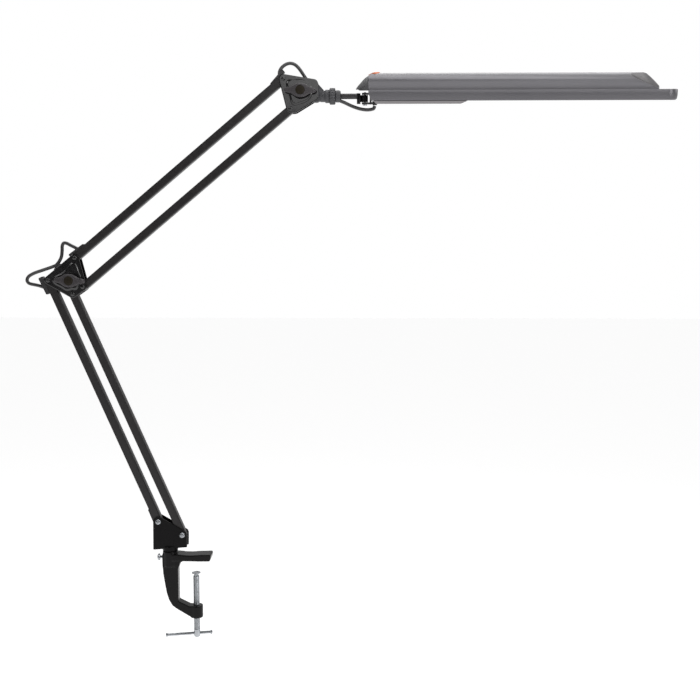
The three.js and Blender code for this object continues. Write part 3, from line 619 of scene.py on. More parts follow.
def add_clamp():
    add_piece("clamp-casting", clamp_casting(), "cast", "clamp", ["clamp_body"], sharp=60)
    slot_z = PIVOT["lock_screw_turn"][2]
    head = lathe([(0, -55.6), (2.6, -55.5), (4.2, -54.9), (4.9, -53.8), (5, -52.9), (4.6, -52.1),
                  (2, -51.8), (2, -42.8), (1.4, -42.2), (0, -42.2)], "X", (0, 0, slot_z))
    slotted = cut(head, block(-57, -54.3, -0.65, 0.65, slot_z - 6, slot_z + 6))
    add_piece("lock-screw", slotted, "zinc", "lock_screw", bevel=0.12)
    disc = lathe([(0, -22.7), (4, -22.7), (4.4, -22.5), (6.2, -21.4), (6.3, -20.6), (6.1, -20.3),
                  (5.4, -20.3), (4.8, -20.7), (0, -20.7)])
    add_piece("clamp-disc", disc, "zinc", "pressure_disc", ["pressure_disc"], bevel=0.1)
    foot = lathe([(0, -116.9), (2.6, -116.6), (3.9, -115.7), (4.5, -114.3), (4.5, -104.6), (3.9, -104.2),
                  (3.9, -103.2), (0, -103.2)])
    tip = lathe([(0, -26.2), (4.1, -26.2), (3.9, -25), (3, -24.4), (3, -23), (0, -23)])
    turn = Matrix.Translation((0, 0, TOMMY_Z)) @ Matrix.Rotation(TOMMY_YAW, 4, "Z")
    hole = lathe([(TOMMY_R + HOLE_GAP, -9), (TOMMY_R + HOLE_GAP, 9)], "X", place=turn)
    drilled = cut(foot, hole)
    screw = merged(threaded(-104, -26, SPINDLE_R, 0.3), drilled, tip)
    add_piece("clamp-spindle", screw, "zinc", "clamp_spindle", sharp=50)
    bar = lathe([(0, -45), (1.6, -44.9), (2.7, -44.2), (3.1, -43.4), (2.9, -42.9), (TOMMY_R, -42.3),
                 (TOMMY_R, 18.6), (2.5, 19.6), (3.1, 20.6), (3.1, 21.6), (2.7, 22), (0, 22)],
                "X", place=turn, sides=32)
    add_piece("tommy-bar", bar, "zinc", "tommy_bar")


# ---- base bracket
FLANGE_INNER = 6.3
FLANGE_OUTER = 7.8
WEB_BOTTOM = 19.4


def hexagon(x, z, radius, face, depth, chamfer):
    """A hexagonal prism along Y, its corners rounded by a profile of (radius, distance past the face)."""
    corners = [polar(radius, k * math.pi / 3, x, z) for k in range(6)]
    round_off = lathe([(r, face + past) for r, past in chamfer], "Y", (x, 0, z))
    return overlap(prism(corners, face, face + depth), round_off)


def base_fold():
    outline = hull([(*BASE_LEFT, 7.4), (-59, 16, 1), (-12.3, 19.8, 1), (*BASE_RIGHT, 6.9)], 12)
    near = prism(outline, -FLANGE_OUTER, -FLANGE_INNER)
    far = prism(outline, FLANGE_INNER, FLANGE_OUTER)
    web = block(-54, -16, -FLANGE_OUTER + 0.2, FLANGE_OUTER - 0.2, WEB_BOTTOM, WEB_BOTTOM + 1.5)
    return joined(near, far, web)


def add_base():
    add_piece("base-bracket", base_fold(), "bracket", "base_bracket", bevel=0.35)
    hub = lathe([(3.4, 12.8), (10.4, 12.8), (11.1, 13.4), (11.1, 18.6), (10.6, 19.3), (3.4, 19.3)],
                at=(SOCKET_X, 0, 0))
    add_piece("base-hub", hub, "bracket", "base_bracket", bevel=0.2)
    pin = lathe([(0, -11), (4, -11), (5, -10), (5, 12.3), (3, 12.3), (3, 21.2), (5, 21.2), (4.7, 22.6),
                 (3.6, 23), (0, 23)], at=(SOCKET_X, 0, 0))
    add_piece("base-pin", pin, "zinc", "base_bracket", ["swivel_pin"], bevel=0.12)
    face = FLANGE_OUTER + 0.3
    for side, (x, z) in (("left", BASE_LEFT), ("right", BASE_RIGHT)):
        head = lathe([(0, -face - 2.4), (1.7, -face - 2.35), (2.9, -face - 2), (3.8, -face - 1.2),
                      (4.15, -face - 0.4), (4.1, -face), (2, -face), (2, face + 4.2), (1.5, face + 4.6),
                      (0, face + 4.6)], "Y", (x, 0, z))
        cross = joined(
            block(x - 2.3, x + 2.3, -face - 3, -face - 1.3, z - 0.45, z + 0.45),
            block(x - 0.45, x + 0.45, -face - 3, -face - 1.3, z - 2.3, z + 2.3),
        )
        screw = cut(head, cross)
        add_piece(f"base-screw-{side}", screw, "zinc", "base_bracket", bevel=0.1)
        nut = hexagon(x, z, 4, face, 3.2, [(3.5, -0.1), (4.1, 0.5), (4.1, 2.7), (3.5, 3.3)])
        add_piece(f"base-nut-{side}", nut, "zinc", "base_bracket", bevel=0.12)


# ---- arms
BAR_HALF = 5.5
BAR_DEPTH = 6
LEAD_R = 2.35
POST_XS = (54, 216)


def bar_frame(foot, end):
    """The frame at a bar's foot, with X along the bar."""
    return turned_at(foot, -math.atan2(end[1] - foot[1], end[0] - foot[0]))


def channel(length, place):
    """A folded U channel with round ends, open along its upper side."""
    bend, wall, steps = 1.7, 1.0, 5

    def corner(sign, y, z, radius):
        start = math.pi if sign < 0 else 1.5 * math.pi
        return [polar(radius, start + k * math.pi / 2 / steps, y, z) for k in range(steps + 1)]

    low = bend - BAR_HALF
    outer = [
        (-BAR_DEPTH, BAR_HALF + 1), *corner(-1, bend - BAR_DEPTH, low, bend),
        *corner(1, BAR_DEPTH - bend, low, bend), (BAR_DEPTH, BAR_HALF + 1),
    ]
    inner = [
        (BAR_DEPTH - wall, BAR_HALF + 1), *reversed(corner(1, BAR_DEPTH - bend, low, bend - wall)),
        *reversed(corner(-1, bend - BAR_DEPTH, low, bend - wall)), (wall - BAR_DEPTH, BAR_HALF + 1),
    ]
    section = prism(outer + inner, -BAR_HALF - 1, length + BAR_HALF + 1, "YZ", place)
    ends = prism(hull([(0, 0, BAR_HALF), (length, 0, BAR_HALF)], 20), -10, 10, place=place)
    return overlap(section, ends)


def clip(start, end, off_start, off_end, length, place):
    """A wedge on the bar's open side, between two distances along it and of two heights."""
    half = BAR_HALF + 0.3
    wedge = prism([
        (start, half), (end, half), (end, off_end - 1), (end - 1, off_end), (start + 1, off_start),
        (start, off_start - 1),
    ], -5.3, 5.3, place=place)
    plug = block(max(start + 1, 3.5), min(end - 1, length - 3.5), -4.5, 4.5, 3, half + 0.5, place)
    return joined(wedge, plug)


def spring_wire(place):
    """A close-wound tension spring with a hook at each end."""
    start, end, turns, per_turn, coil, wire = 64, 206, 74, 10, 3.1, 0.55
    path = in_plane([(POST_XS[0], 0), (58, 0), (61.5, 0.6), (63, 1.8)])
    steps = turns * per_turn
    for k in range(steps + 1):
        angle = 2 * math.pi * k / per_turn
        path.append((start + (end - start) * k / steps, coil * math.sin(angle), coil * math.cos(angle)))
    path += in_plane([(207.5, 1.8), (209, 0.6), (212, 0), (POST_XS[1], 0)])
    return sweep(path, wire, 6, place)


def spring_post(x, place):
    return lathe([(0, -4.9), (1.2, -4.9), (1.2, 4.9), (0, 4.9)], "Y", (x, 0, -0.4), 16, place)


def add_arm(arm, lead_bar, spring_bar, foot, far_foot, end, far_end, clips):
    length = math.dist(foot, end)
    place = bar_frame(foot, end)
    spring_place = bar_frame(far_foot, far_end)
    add_piece(f"{arm}-bar-with-lead", channel(length, place), "bar", lead_bar, [lead_bar], bevel=0.16)
    add_piece(f"{arm}-bar-with-spring", channel(length, spring_place), "bar", spring_bar, [spring_bar],
              bevel=0.16)
    for where, size in zip(("bottom", "top"), clips(length)):
        add_piece(f"{arm}-clip-{where}", clip(*size, length, place), "nylon", lead_bar, bevel=0.5)
    run = smooth_path([(10, 0, 0.4), (60, 0.5, -1.6), (150, -0.5, -2), (240, 0.4, -1.8), (320, -0.3, -2),
                       (length - 9, 0, 0.2)])
    add_piece(f"{arm}-inner-lead", sweep(run, LEAD_R, 12, place), "lead", lead_bar, [f"{arm}_lead"])
    add_piece(f"{arm}-spring", spring_wire(spring_place), "spring", spring_bar)
    posts = merged(*[spring_post(x, spring_place) for x in POST_XS])
    add_piece(f"{arm}-spring-posts", posts, "zinc", spring_bar, bevel=0.15)


def add_arms():
    add_arm("lower", "lower_bar_left", "lower_bar_right", BASE_LEFT, BASE_RIGHT, LOWER_TOP_LEFT,
            LOWER_TOP_RIGHT, lambda n: [(-1.5, 22, 7.7, 7.2), (n - 17.4, n + 8.3, 11.4, 12.3)])
    add_arm("upper", "upper_bar_top", "upper_bar_bottom", UPPER_FOOT_TOP, UPPER_FOOT_BOTTOM, UPPER_END_TOP,
            UPPER_END_BOTTOM, lambda n: [(-4.5, 21.6, 9.5, 8), (n - 18.6, n + 7.4, 6.8, 10.4)])


# ---- pressed plates, rivets and knobs
PLATE_INNER = 6.3
PLATE_OUTER = 7.5
BOSS_R = 15.2
BOSS_RISE = 1.0
BOSS_TO_PIVOT = 7.6
FLARE_ANGLE = 0.4
KNOB_HALF = 22


def ease(low, high, value):
    t = min(1, max(0, (value - low) / (high - low)))
    return t * t * (3 - 2 * t)


def ray_length(outline, hub, angle):
    """How far a ray from the hub goes to a convex outline."""
    dx, dz = math.cos(angle), math.sin(angle)
    for (x1, z1), (x2, z2) in zip(outline, outline[1:] + outline[:1]):
        ex, ez = x2 - x1, z2 - z1
        cross = dx * ez - dz * ex
        if abs(cross) < 1e-9:
            continue
        t = ((x1 - hub[0]) * ez - (z1 - hub[1]) * ex) / cross
        s = ((x1 - hub[0]) * dz - (z1 - hub[1]) * dx) / cross
        if t > 0 and -1e-9 <= s <= 1 + 1e-9:
            return t
    return 10.0


def pressed_plate(outline, hub, pivots, front):
    """A plate with a stamped boss round its hub that flares towards the pivots."""
    rays, rings = 168, 44
    sign = -1 if front else 1

    def boss_edge(angle):
        edge = BOSS_R
        for x, z in pivots:
            reach = math.hypot(x - hub[0], z - hub[1])
            off = (angle - math.atan2(z - hub[1], x - hub[0]) + math.pi) % (2 * math.pi) - math.pi
            edge += (reach - BOSS_TO_PIVOT - edge) * math.exp(-((off / FLARE_ANGLE) ** 2))
        return edge

    layers = []
    for base in (PLATE_OUTER, PLATE_INNER):
        for k in range(rings + 1):
            share = max(0.01, k / rings)
            ring = []
            for i in range(rays):
                angle = 2 * math.pi * i / rays
                limit = ray_length(outline, hub, angle)
                r = limit * share
                edge = boss_edge(angle)
                rise = BOSS_RISE * ease(8.8, 10.4, r) * (1 - ease(edge - 1.1, edge + 1.1, r))
                rim = -0.25 * ease(limit - 0.7, limit, r) if base == PLATE_OUTER else 0
                y = sign * (base + rise + rim)
                ring.append((hub[0] + r * math.cos(angle), y, hub[1] + r * math.sin(angle)))
            layers.append(ring)
    outer, inner = layers[:rings + 1], layers[rings + 1:]
    return loft(outer + inner[::-1])


def rivet(x, z):
    """A pivot rivet with a domed head on each side."""
    face = PLATE_OUTER + 0.1
    dome = [(3.1, 0), (3.1, 0.35), (2.7, 0.9), (1.8, 1.35), (0.8, 1.5), (0, 1.52)]
    profile = [(r, -face - h) for r, h in reversed(dome)] + [(2, -face), (2, face)]
    return lathe([*profile, *[(r, face + h) for r, h in dome]], "Y", (x, 0, z), 32)


def wing_knob(hub, tilt):
    """A lozenge knob with hollow flanks round a raised hub."""
    quarter = [(KNOB_HALF, 0), (21, 2.3), (18, 3.5), (13.2, 4.5), (9.6, 6.6), (6, 8.6), (2.4, 9.4)]
    points = quarter + [(-x, z) for x, z in reversed(quarter)]
    points += [(x, -z) for x, z in reversed(points[1:-1])]
    outline = smooth_path(in_plane(points), 5, closed=True)
    place = turned_at(hub, math.radians(tilt))
    layers = [(-13, 0.86), (-13.4, 0.94), (-14.6, 0.99), (-16.4, 1.0), (-17.8, 0.98), (-18.8, 0.93),
              (-19.4, 0.86), (-19.7, 0.76), (-19.7, 0.6)]

    def bowed(point, y, share):
        drop = 1.7 * (point.x * share / KNOB_HALF) ** 2 if y < -16 else 0
        return (point.x * share, y + drop, point.z * share)

    wings = loft([[bowed(p, y, share) for p in outline] for y, share in layers], place=place)
    stem = lathe([(7.4, -7.8), (7.4, -13.6), (5, -13.6)], "Y", place=place)
    ring = lathe([(7.9, -18), (7.9, -19.6), (7.5, -20), (6.5, -20), (6.3, -19.4), (6.3, -18)], "Y",
                 place=place)
    return joined(joined(wings, stem), ring), place


def add_knob(name, hub, tilt, body):
    mesh, place = wing_knob(hub, tilt)
    add_piece(name, mesh, "knob", body, bevel=0.15)
    cap = lathe([(0, -19.2), (6.2, -19.2), (6.2, -19.9), (5.5, -20.3), (3, -20.5), (0, -20.55)], "Y",
                place=place)
    add_piece(f"{name}-cap", cap, "knob_cap", body)


def hex_bolt(hub):
    x, z = hub
    face = PLATE_OUTER + 0.3
    head = hexagon(x, z, 4.6, face, 3.4, [(4.5, -0.1), (4.7, 0.3), (4.7, 2.7), (3.9, 3.5)])
    shank = lathe([(2.5, -15), (2.5, face + 0.5)], "Y", (x, 0, z), 24)
    return joined(head, shank)


def add_plates(joint, hub, circles, pivots, body):
    outline = hull(circles, 12)
    for side in ("front", "rear"):
        plate = pressed_plate(outline, hub, pivots, side == "front")
        add_piece(f"{joint}-plate-{side}", plate, "plate", body, sharp=50)
    add_piece(f"{joint}-bolt", hex_bolt(hub), "zinc", body, bevel=0.15)


def add_elbow():
    corners = [LOWER_TOP_LEFT, LOWER_TOP_RIGHT, UPPER_FOOT_BOTTOM, UPPER_FOOT_TOP]
    add_plates("elbow", ELBOW_HUB, [(*c, 5.6) for c in corners], corners, "elbow")
    names = ("lower_left", "lower_right", "upper_bottom", "upper_top")
    for name, corner in zip(names, corners):
        add_piece(f"elbow-rivet-{name}", rivet(*corner), "plate", "elbow", [f"elbow_pin_{name}"])
    spacer = lathe([(2.8, -6), (4.3, -6), (4.5, -5.8), (4.5, 5.8), (4.3, 6), (2.8, 6)], "Y",
                   (ELBOW_HUB[0], 0, ELBOW_HUB[1]))
    add_piece("elbow-spacer", spacer, "zinc", "elbow")
    add_knob("elbow-knob", ELBOW_HUB, 3, "elbow_knob")
    place = bar_frame(LOWER_TOP_LEFT, UPPER_FOOT_TOP)
    saddle = joined(
        block(16, 28, -5.9, 5.9, -1, 7.1, place),
        block(18, 26, -4.2, -2.75, 6, 11.4, place),
        block(18, 26, 2.75, 4.2, 6, 11.4, place),
    )
    add_piece("elbow-saddle", saddle, "nylon", "elbow", bevel=0.4)


def add_head_bracket():
    corners = [UPPER_END_TOP, UPPER_END_BOTTOM, (146.9, 636.8), (172.9, 652.5), (172.9, 670)]
    add_plates("head", HEAD_HUB, [(*c, 6) for c in corners], corners[:2], "head_bracket")
    for name, corner in zip(("top", "bottom"), corners):
        add_piece(f"head-rivet-{name}", rivet(*corner), "plate", "head_bracket", [f"head_pin_{name}"])
    add_knob("head-knob", HEAD_HUB, 1, "head_knob")
    bush = lathe([(2.5, 8.2), (4, 8.2), (4, 9.2), (3.4, 9.9), (2.5, 10.1)], "Y", (168, 0, 664.4), 32)
    add_piece("head-lead-bush", bush, "nylon", "head_bracket")


# ---- leads
LEAD_ROUTES = {
    "elbow-lead-lower": ("elbow_lead_lower", "lower_bar_left", "elbow", in_plane([
        (-206.5, 390.4), (-210.3, 391.5), (-216.2, 393.4), (-223.4, 394.9), (-229.8, 396.6),
        (-232.6, 400.7), (-230.2, 406.2), (-221.9, 411), (-210, 415.1), (-199.5, 418.6), (-191.2, 421.7),
    ])),
    "elbow-lead-upper": ("elbow_lead_upper", "elbow", "upper_bar_top", in_plane([
        (-190.1, 422.7), (-186.4, 427.2), (-182.9, 434.2), (-181.7, 443), (-181.3, 449.4),
        (-179, 453), (-174.6, 452.6), (-169.4, 449.8), (-164.8, 447.6), (-160.5, 445.4),
    ])),
    "head-loop-lead": ("head_loop_lead", "upper_bar_top", "head_bracket", [
        (125.3, 0, 683), (126, 0.3, 688), (129.4, 1, 693.4), (134.8, 2.2, 697.4), (141, 4, 698.9),
        (147, 6.2, 697), (152.3, 8.6, 692), (157, 10.6, 685.4), (161.4, 12, 678.8), (164.8, 12.4, 672.6),
        (167, 11.4, 667.4), (168, 8.9, 664.4),
    ]),
    "lead-to-head": ("lead_to_head", "head_rod", "head", in_plane([
        (206.5, 648.6), (211, 646.7), (215.9, 644.7), (221.5, 642), (228.6, 639), (236.5, 636.6),
        (244.4, 635.4), (250.4, 635.7), (254.9, 637.1), (256.4, 640.5),
    ])),
}


def add_leads():
    for name, (node, body_a, body_b, route) in LEAD_ROUTES.items():
        path = smooth_path(route, 5)
        obj = make_piece(name, sweep(path, LEAD_R, 18), "lead")
        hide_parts(node)
        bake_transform(obj)


# ---- tilt stub, collar, rod and knuckle
HEAD_FRAME = Matrix.Translation((0, 0, ROLL_Z)) @ Matrix.Rotation(HEAD_ROLL, 4, "X")


def tilt_stub():
    cheek = prism(hull([(*HEAD_HUB, 12), (176, 652.6, 7.1)], 16), -5.9, 5.9)
    shoulder = prism([(164, 650), (186.5, 650), (186.5, 661.4), (178.5, 670.2), (164, 666)], -5.9, 5.9)
    neck = lathe([(7, 181), (7.7, 182.5), (7.7, 187.6), (8.4, 188.6), (9, 189), (9, 193.4), (8.6, 194),
                  (4.1, 194)], "X", (0, 0, ROLL_Z))
    body = joined(cheek, shoulder, neck)
    return cut(body, lathe([(2.8, -8), (2.8, 8)], "Y", (HEAD_HUB[0], 0, HEAD_HUB[1])))


def knurled_ring(x0, x1, radius, bore, ribs=20):
    """A grip ring with round ribs and rounded shoulders."""
    rings = []
    shoulder = [(0, 1.1), (0.5, 0.35), (1.2, 0)]
    stations = [(x0 + step, inset) for step, inset in shoulder]
    stations += [(x1 - step, inset) for step, inset in reversed(shoulder)]
    for x, inset in stations:
        ring = []
        for k in range(ribs * 6):
            angle = 2 * math.pi * k / (ribs * 6)
            r = radius - inset - 0.7 * (0.5 + 0.5 * math.cos(ribs * angle)) ** 2
            ring.append((x, *polar(r, angle)))
        rings.append(ring)
    place = Matrix.Translation((0, 0, ROLL_Z))
    hole = lathe([(bore, x0 - 1), (bore, x1 + 1)], "X", (0, 0, ROLL_Z))
    return cut(loft(rings, place=place), hole)


def knuckle_rod():
    rod = lathe([(3.6, 183), (3.8, 184), (3.8, 231), (4.4, 232.2), (3, 232.2)], "X", place=HEAD_FRAME)
    flange = block(231.9, 236.7, -4.6, 4.6, -10.3, 4.1, HEAD_FRAME)
    arm = block(235.7, SWIVEL_X, -3, 3, -7.8, 1.6, HEAD_FRAME)
    eye = lathe([(4.2, -7.8), (4.2, 1.6)], at=(SWIVEL_X, 0, 0), place=HEAD_FRAME)
    return joined(rod, flange, arm, eye)


def knuckle_fork():
    def lid(z0, z1):
        return prism(hull([(SWIVEL_X, 0, 4.2), (251, 0, 4.2)], 12), z0, z1, "XY", HEAD_FRAME)

    back = block(249.4, 252, -4.6, 4.6, -11, 4.8, HEAD_FRAME)
    return joined(back, lid(1.9, 4.7), lid(-10.9, -8.1))


def add_knuckle():
    add_piece("tilt-stub", tilt_stub(), "grey", "tilt_stub", bevel=0.4)
    add_piece("collar-ring", knurled_ring(194.3, 202.2, 11.2, 4.1), "grey", "collar_ring",
              sharp=60)
    sleeve = lathe([(4.1, 202.5), (7.6, 202.5), (8.2, 203.1), (8.2, 207.4), (7.4, 209), (6.4, 209.6),
                    (4.1, 209.6)], "X", (0, 0, ROLL_Z))
    add_piece("rod-sleeve", sleeve, "grey", "head_rod", bevel=0.15)
    add_piece("knuckle-rod", knuckle_rod(), "nylon", "head_rod", ["swivel_rod"], bevel=0.35)
    add_piece("knuckle-fork", knuckle_fork(), "nylon", "head", ["swivel_bracket"], bevel=0.35)
    bolt = lathe([(0, -12.5), (2.4, -12.5), (3, -12), (3, -11.2), (1.6, -11.2), (1.6, 5.2), (1.2, 5.5),
                  (0, 5.5)], at=(SWIVEL_X, 0, 0), place=HEAD_FRAME, sides=32)
    add_piece("knuckle-bolt", bolt, "zinc", "head", ["swivel_bolt"])


# ---- head casing, in the head's frame
SHELL_LEFT, SHELL_RIGHT = 247.8, 662.9
SHELL_HALF, SHELL_BOTTOM, LIP_TOP = 36, -5.9, 8.6
CORNER_R = 15
ARCH_HALF, ARCH_TOP, ARCH_FLAT = 35.4, 30.4, 13
WALL = 2
FACET_NORMAL = (0.288, 0.4035, 0.868)
FACET_X, FACET_Y = 604, 13
CAP_RIGHT, CAP_LENGTH, CAP_FOOT = 247.5, 17.4, 7.7


def arch_side(grow=0.0, steps=22):
    """One side of the casing's arch as (y, z), from its foot up to the flat top."""
    half, top, flat = ARCH_HALF + grow, ARCH_TOP + grow, ARCH_FLAT + grow / 2
    knots = [(half, 9), (half - 0.4, 19), (half - 8, top - 0.2), (flat, top)]
    side = []
    for k in range(steps + 1):
        t = k / steps
        weights = ((1 - t) ** 3, 3 * t * (1 - t) ** 2, 3 * t * t * (1 - t), t ** 3)
        side.append(tuple(sum(w * knot[axis] for w, knot in zip(weights, knots)) for axis in (0, 1)))
    return side


def arch_section(grow, bottom):
    side = arch_side(grow)
    crown = 0.35
    flat = side[-1][0]
    top = [(flat * (1 - k / 4), side[-1][1] + crown * (1 - (1 - k / 4) ** 2)) for k in range(1, 8)]
    mirrored = [(-y, z) for y, z in reversed(side)]
    return [(side[0][0], bottom), *side, *top, *mirrored, (-side[0][0], bottom)]


def tray_plan(left, right, half, corner, steps=14):
    """An outline (x, y) that is square at its left end and has round corners at its right end."""
    outline = [(left, -half)]
    for y, start in ((corner - half, -math.pi / 2), (half - corner, 0)):
        for k in range(steps + 1):
            angle = start + k * math.pi / 2 / steps
            outline.append(polar(corner, angle, right - corner, y))
    return [*outline, (left, half)]


def head_block(x0, x1, y0, y1, z0, z1):
    return block(x0, x1, y0, y1, z0, z1, HEAD_FRAME)


def facet_place(side, inset):
    """The frame of the sloping facet at one top corner of the nose, with the facet as its XY plane."""
    x, y, z = FACET_NORMAL
    turn = Vector((0, 0, 1)).rotation_difference(Vector((x, side * y, z))).to_matrix().to_4x4()
    corner = (FACET_X - inset * 1.5, side * FACET_Y, ARCH_TOP - inset)
    return HEAD_FRAME @ Matrix.Translation(corner) @ turn


def facet_cutter(side, inset):
    """A big block beyond the facet."""
    return block(-60, 60, -60, 60, 0, 60, facet_place(side, inset))


def arch_block(inset):
    """The arch with its sloping left end and its curved nose, before the facets are cut."""
    nose = smooth_path(in_plane([(640, 6), (638.2, 9.1), (636.2, 12.5), (633, 18.7), (629.3, 24.4),
                                 (624.3, 30.4), (621, 33)]), 3)
    left = SHELL_LEFT + inset
    profile = [(left, -9), (640 - inset, -9), *[(p.x - inset, p.z - inset * 0.3) for p in nose],
               (258, ARCH_TOP + 1.5), (253, 30.2 - inset * 0.5), (left, 27.2 - inset * 0.5)]
    arch = prism(arch_section(-inset, -8), left, 642, "YZ", HEAD_FRAME)
    bow = [(640.5 - inset - 8.5 * abs(k / 16) ** 2.4, 38 * k / 16) for k in range(-16, 17)]
    return overlap(
        arch,
        prism(profile, -60, 60, place=HEAD_FRAME),
        prism([(200, -38), *bow, (200, 38)], -20, 60, "XY", HEAD_FRAME),
    )


def canopy(inset):
    """The arch with both facets cut, grown inward by the inset."""
    return cut(
        arch_block(inset),
        facet_cutter(-1, inset),
        facet_cutter(1, inset),
    )


def nose_shade_plate(side):
    """A thin dark plate laid on the facet as painted shade, darkening it, with a rim of the shell left bare
    around it.
    """
    plate = block(-60, 60, -60, 60, -0.5, 0.15, facet_place(side, 0))
    return shaped(plate, ("INTERSECT", arch_block(0.7)), ("DIFFERENCE", facet_cutter(-side, 0.5)))


def tray():
    """The low lipped tray under the arch, with sides that draw in towards the underside."""
    layers = [(SHELL_BOTTOM, 2.4), (SHELL_BOTTOM + 1.6, 0.8), (-0.6, 0.1), (0, 0), (7.2, 0), (8.2, 0.45),
              (LIP_TOP, 1.4)]
    rings = []
    for z, inset in layers:
        plan = tray_plan(SHELL_LEFT, SHELL_RIGHT - inset, SHELL_HALF - inset, CORNER_R - inset)
        rings.append([(x, y, z) for x, y in plan])
    return loft(rings, place=HEAD_FRAME)


def shell():
    """The tray and the arch as one hollow casing, open towards the lead and the button."""
    room = prism(tray_plan(SHELL_LEFT + WALL + 0.3, SHELL_RIGHT - WALL - 1.4, SHELL_HALF - WALL - 1.4,
                           CORNER_R - WALL), SHELL_BOTTOM - 1, LIP_TOP - WALL, "XY", HEAD_FRAME)
    under_arch = overlap(canopy(WALL), head_block(SHELL_LEFT, 700, -60, 60, -1.3, 60))
    arch = overlap(canopy(0), head_block(SHELL_LEFT - 5, 700, -60, 60, 0.6, 60))
    mouth = prism([(SHELL_LEFT - 3.5, 13.6), (SHELL_LEFT - 3.5, -20), (SHELL_LEFT + 9, -20)], -60, 60,
                  place=HEAD_FRAME)
    return shaped(
        tray(),
        ("UNION", arch),
        ("DIFFERENCE", joined(room, under_arch)),
        ("DIFFERENCE", mouth),
        ("DIFFERENCE", head_block(SHELL_LEFT - 5, SHELL_LEFT + 6, -4.7, 4.7, -11.9, 5)),
        ("DIFFERENCE", button_column(0.55)),
    )


BUTTON_X, BUTTON_RX, BUTTON_RY = 256.2, 7.9, 18


def button_column(grow):
    outline = []
    for k in range(48):
        angle = 2 * math.pi * k / 48
        outline.append(((BUTTON_RX + grow) * math.cos(angle), (BUTTON_RY + grow) * math.sin(angle)))
    place = HEAD_FRAME @ Matrix.Translation((BUTTON_X, 0, 27)) @ Matrix.Rotation(math.radians(-14), 4, "Y")
    return prism(outline, -16, 16, "XY", place)


def power_button():
    """A saddle-shaped oval key that follows the casing's shoulder."""
    return shaped(
        button_column(0),
        ("INTERSECT", canopy(-1.4)),
        ("DIFFERENCE", overlap(canopy(2.4), head_block(252, 500, -30, 30, 0, 60))),
    )


def end_cap():
    """A domed cap lofted from the arch's section down to a round nose."""
    top_line = smooth_path(in_plane([(230.1, 8.2), (232.1, 11.9), (236.8, 17.3), (242.5, 23.4),
                                     (CAP_RIGHT, 26.9)]), 6)
    side = arch_side()
    section = [(side[0][0], CAP_FOOT), *side, *[(-y, z) for y, z in reversed(side)],
               (-side[0][0], CAP_FOOT)]

    def ring(point, size, step, floor, foot):
        half = size * (1 - 0.42 * ((CAP_RIGHT - point.x) / CAP_LENGTH) ** 3.2)
        rise = size * (point.z - foot) / (ARCH_TOP - CAP_FOOT)
        return [(point.x - step, y * half, floor + (z - CAP_FOOT) * rise) for y, z in section]

    outer = [ring(point, 1, 0, CAP_FOOT, CAP_FOOT) for point in top_line]
    hollow = [ring(point, 0.94, 1.99, CAP_FOOT - 1, CAP_FOOT + 2) for point in top_line[4:]]
    return cut(loft(outer, place=HEAD_FRAME), loft(hollow, place=HEAD_FRAME))


def ballast_cover():
    left, right, low, half = 254.9, 380.7, -10, 34.2
    steps = [(SHELL_BOTTOM - 0.3, 0, left, right), (-8.6, 2.2, left + 2, right - 5.4),
             (low + 0.3, 3.4, left + 3, right - 8), (low, 4, left + 3.6, right - 8.8)]
    rings = [
        [(x0, inset - half, z), (x1, inset - half, z), (x1, half - inset, z), (x0, half - inset, z)]
        for z, inset, x0, x1 in steps
    ]
    dimple = lathe([(1.7, -8), (1.7, -12)], at=(358, -29.5, 0), place=HEAD_FRAME, sides=24)
    return shaped(
        loft(rings, place=HEAD_FRAME),
        ("UNION", head_block(257.5, right - 1.5, -32, 32, SHELL_BOTTOM - 1, SHELL_BOTTOM + 2.4)),
        ("DIFFERENCE", head_block(262, 368, -29, 29, low + 1.8, SHELL_BOTTOM + 3)),
        ("DIFFERENCE", dimple),
    )


def strain_relief():
    """A ribbed, tapered sleeve round the lead where it enters the casing."""
    profile = [(2.5, -12), (3, -12), (3.1, -11.4), (2.8, -11.1), (3.2, -10.8), (3.3, -10.1), (2.9, -9.8),
               (3.4, -9.5), (3.5, -8.6), (3.1, -8.3), (3.6, -8), (3.6, -6.5), (2.5, -6.5)]
    return lathe(profile, at=(256.5, 0, 0), place=HEAD_FRAME, sides=32)


def reflector():
    """A folded white trough over the tubes."""
    points = []
    for k in range(25):
        angle = math.pi * k / 24
        points.append((30.6 * math.cos(angle), -2.4 + 25 * math.sin(angle) ** 0.8))
    inner = [(y * 0.975, z - 0.7 if z > 0 else z) for y, z in reversed(points)]
    return prism(points + inner, 416, 622, "YZ", HEAD_FRAME)


def diffuser():
    """A clear cover with fine lengthwise ribs on its inner face."""
    left, right, half, z0 = 384.5, SHELL_RIGHT - 5, SHELL_HALF - 4.4, SHELL_BOTTOM + 0.5
    ribs = 30
    section = [(-half, z0), (half, z0), (half, z0 + 1.6)]
    for k in range(ribs):
        y = half - 2 * half * (k + 0.5) / ribs
        section += [(y, z0 + 2.4), (y - half / ribs, z0 + 1.6)]
    plan = prism(tray_plan(left, right, half, CORNER_R - 4.4), -20, 20, "XY", HEAD_FRAME)
    return overlap(prism(section, left - 1, right + 1, "YZ", HEAD_FRAME), plan)


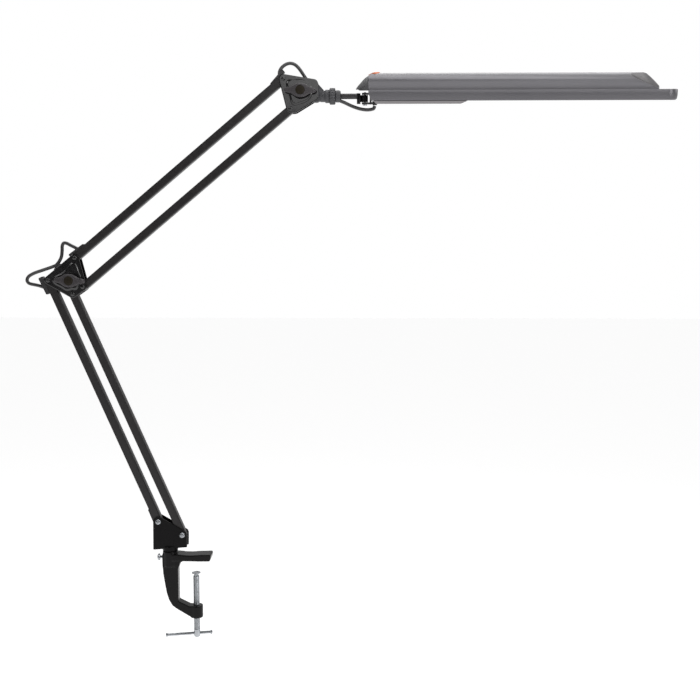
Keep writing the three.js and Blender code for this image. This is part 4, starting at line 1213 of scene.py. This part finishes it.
def twin_tubes():
    """Two glass tubes joined by a bridge near their far ends."""
    z, spread, r = 8.5, 7.6, 6
    profile = [(0, 413), (r, 413), (r, 624), (r * 0.93, 627), (r * 0.66, 629.2), (r * 0.3, 630), (0, 630.1)]
    near, far = (lathe(profile, "X", (0, y, z), place=HEAD_FRAME, sides=32) for y in (-spread, spread))
    bridge = lathe([(3.4, -spread), (3.4, spread)], "Y", (616, 0, z), place=HEAD_FRAME, sides=24)
    return joined(near, far, bridge)


def add_head():
    add_piece("head-shell", shell(), "shell", "head", bevel=0.45, segments=3)
    # painted shade: a dark plate on each nose facet darkens it in place of its shading
    for name, side in (("near", -1), ("far", 1)):
        add_piece(f"nose-inlay-{name}", nose_shade_plate(side), "knob", "head", bevel=0.1)
    add_piece("head-end-cap", end_cap(), "cap", "head", bevel=0.4)
    add_piece("power-button", power_button(), "button", "power_button", bevel=0.7, segments=3)
    add_piece("ballast-cover", ballast_cover(), "cover", "head", bevel=0.35)
    add_piece("strain-relief", strain_relief(), "nylon", "head", ["lead_grommet"])
    add_piece("reflector-trough", reflector(), "sheet", "head", ["reflector"])
    add_piece("ribbed-diffuser", diffuser(), "clear", "head", ["diffuser"], sharp=20)
    add_piece("twin-tubes", twin_tubes(), "tube", "head", ["lamp_tube"], bevel=0.4)
    grooves = [head_block(x, x + 1.4, -20, 20, 14.6, 20) for x in (396, 400)]
    base = cut(head_block(393, 414, -15.5, 15.5, 1, 16), *grooves)
    add_piece("tube-base", base, "holder", "head", bevel=1.2, segments=3)
    keep_node("lamp_holder", "holder")
    keep_node("ballast", "ballast")


add_camera()
add_leads()
add_world()
add_floor()
for light in (
    ("overhead", (0.25, 0.1, 1.9), (0.2, 0, 0.4), (2.2, 0.9), 15),
    ("key", (-1.3, -1.3, 1.6), (0.1, 0, 0.45), (0.6, 0.9), 7),
    ("glint", (1.5, -1.1, 0.95), (-0.1, 0, 0.4), (0.3, 1.0), 7),
    ("head-card", (0.47, -0.7, 1.06), (0.46, 0, 0.67), (0.9, 0.75), 3.4),
    ("side", (1.5, 0.15, 1.0), (0.66, 0, 0.655), (0.4, 0.5), 1.5),
    ("back", (0.5, 1.4, 1.9), (0.1, 0, 0.4), (1.6, 0.8), 8),
):
    area_light(*light)
add_clamp()
add_base()
add_arms()
add_elbow()
add_head_bracket()
add_knuckle()
add_head()
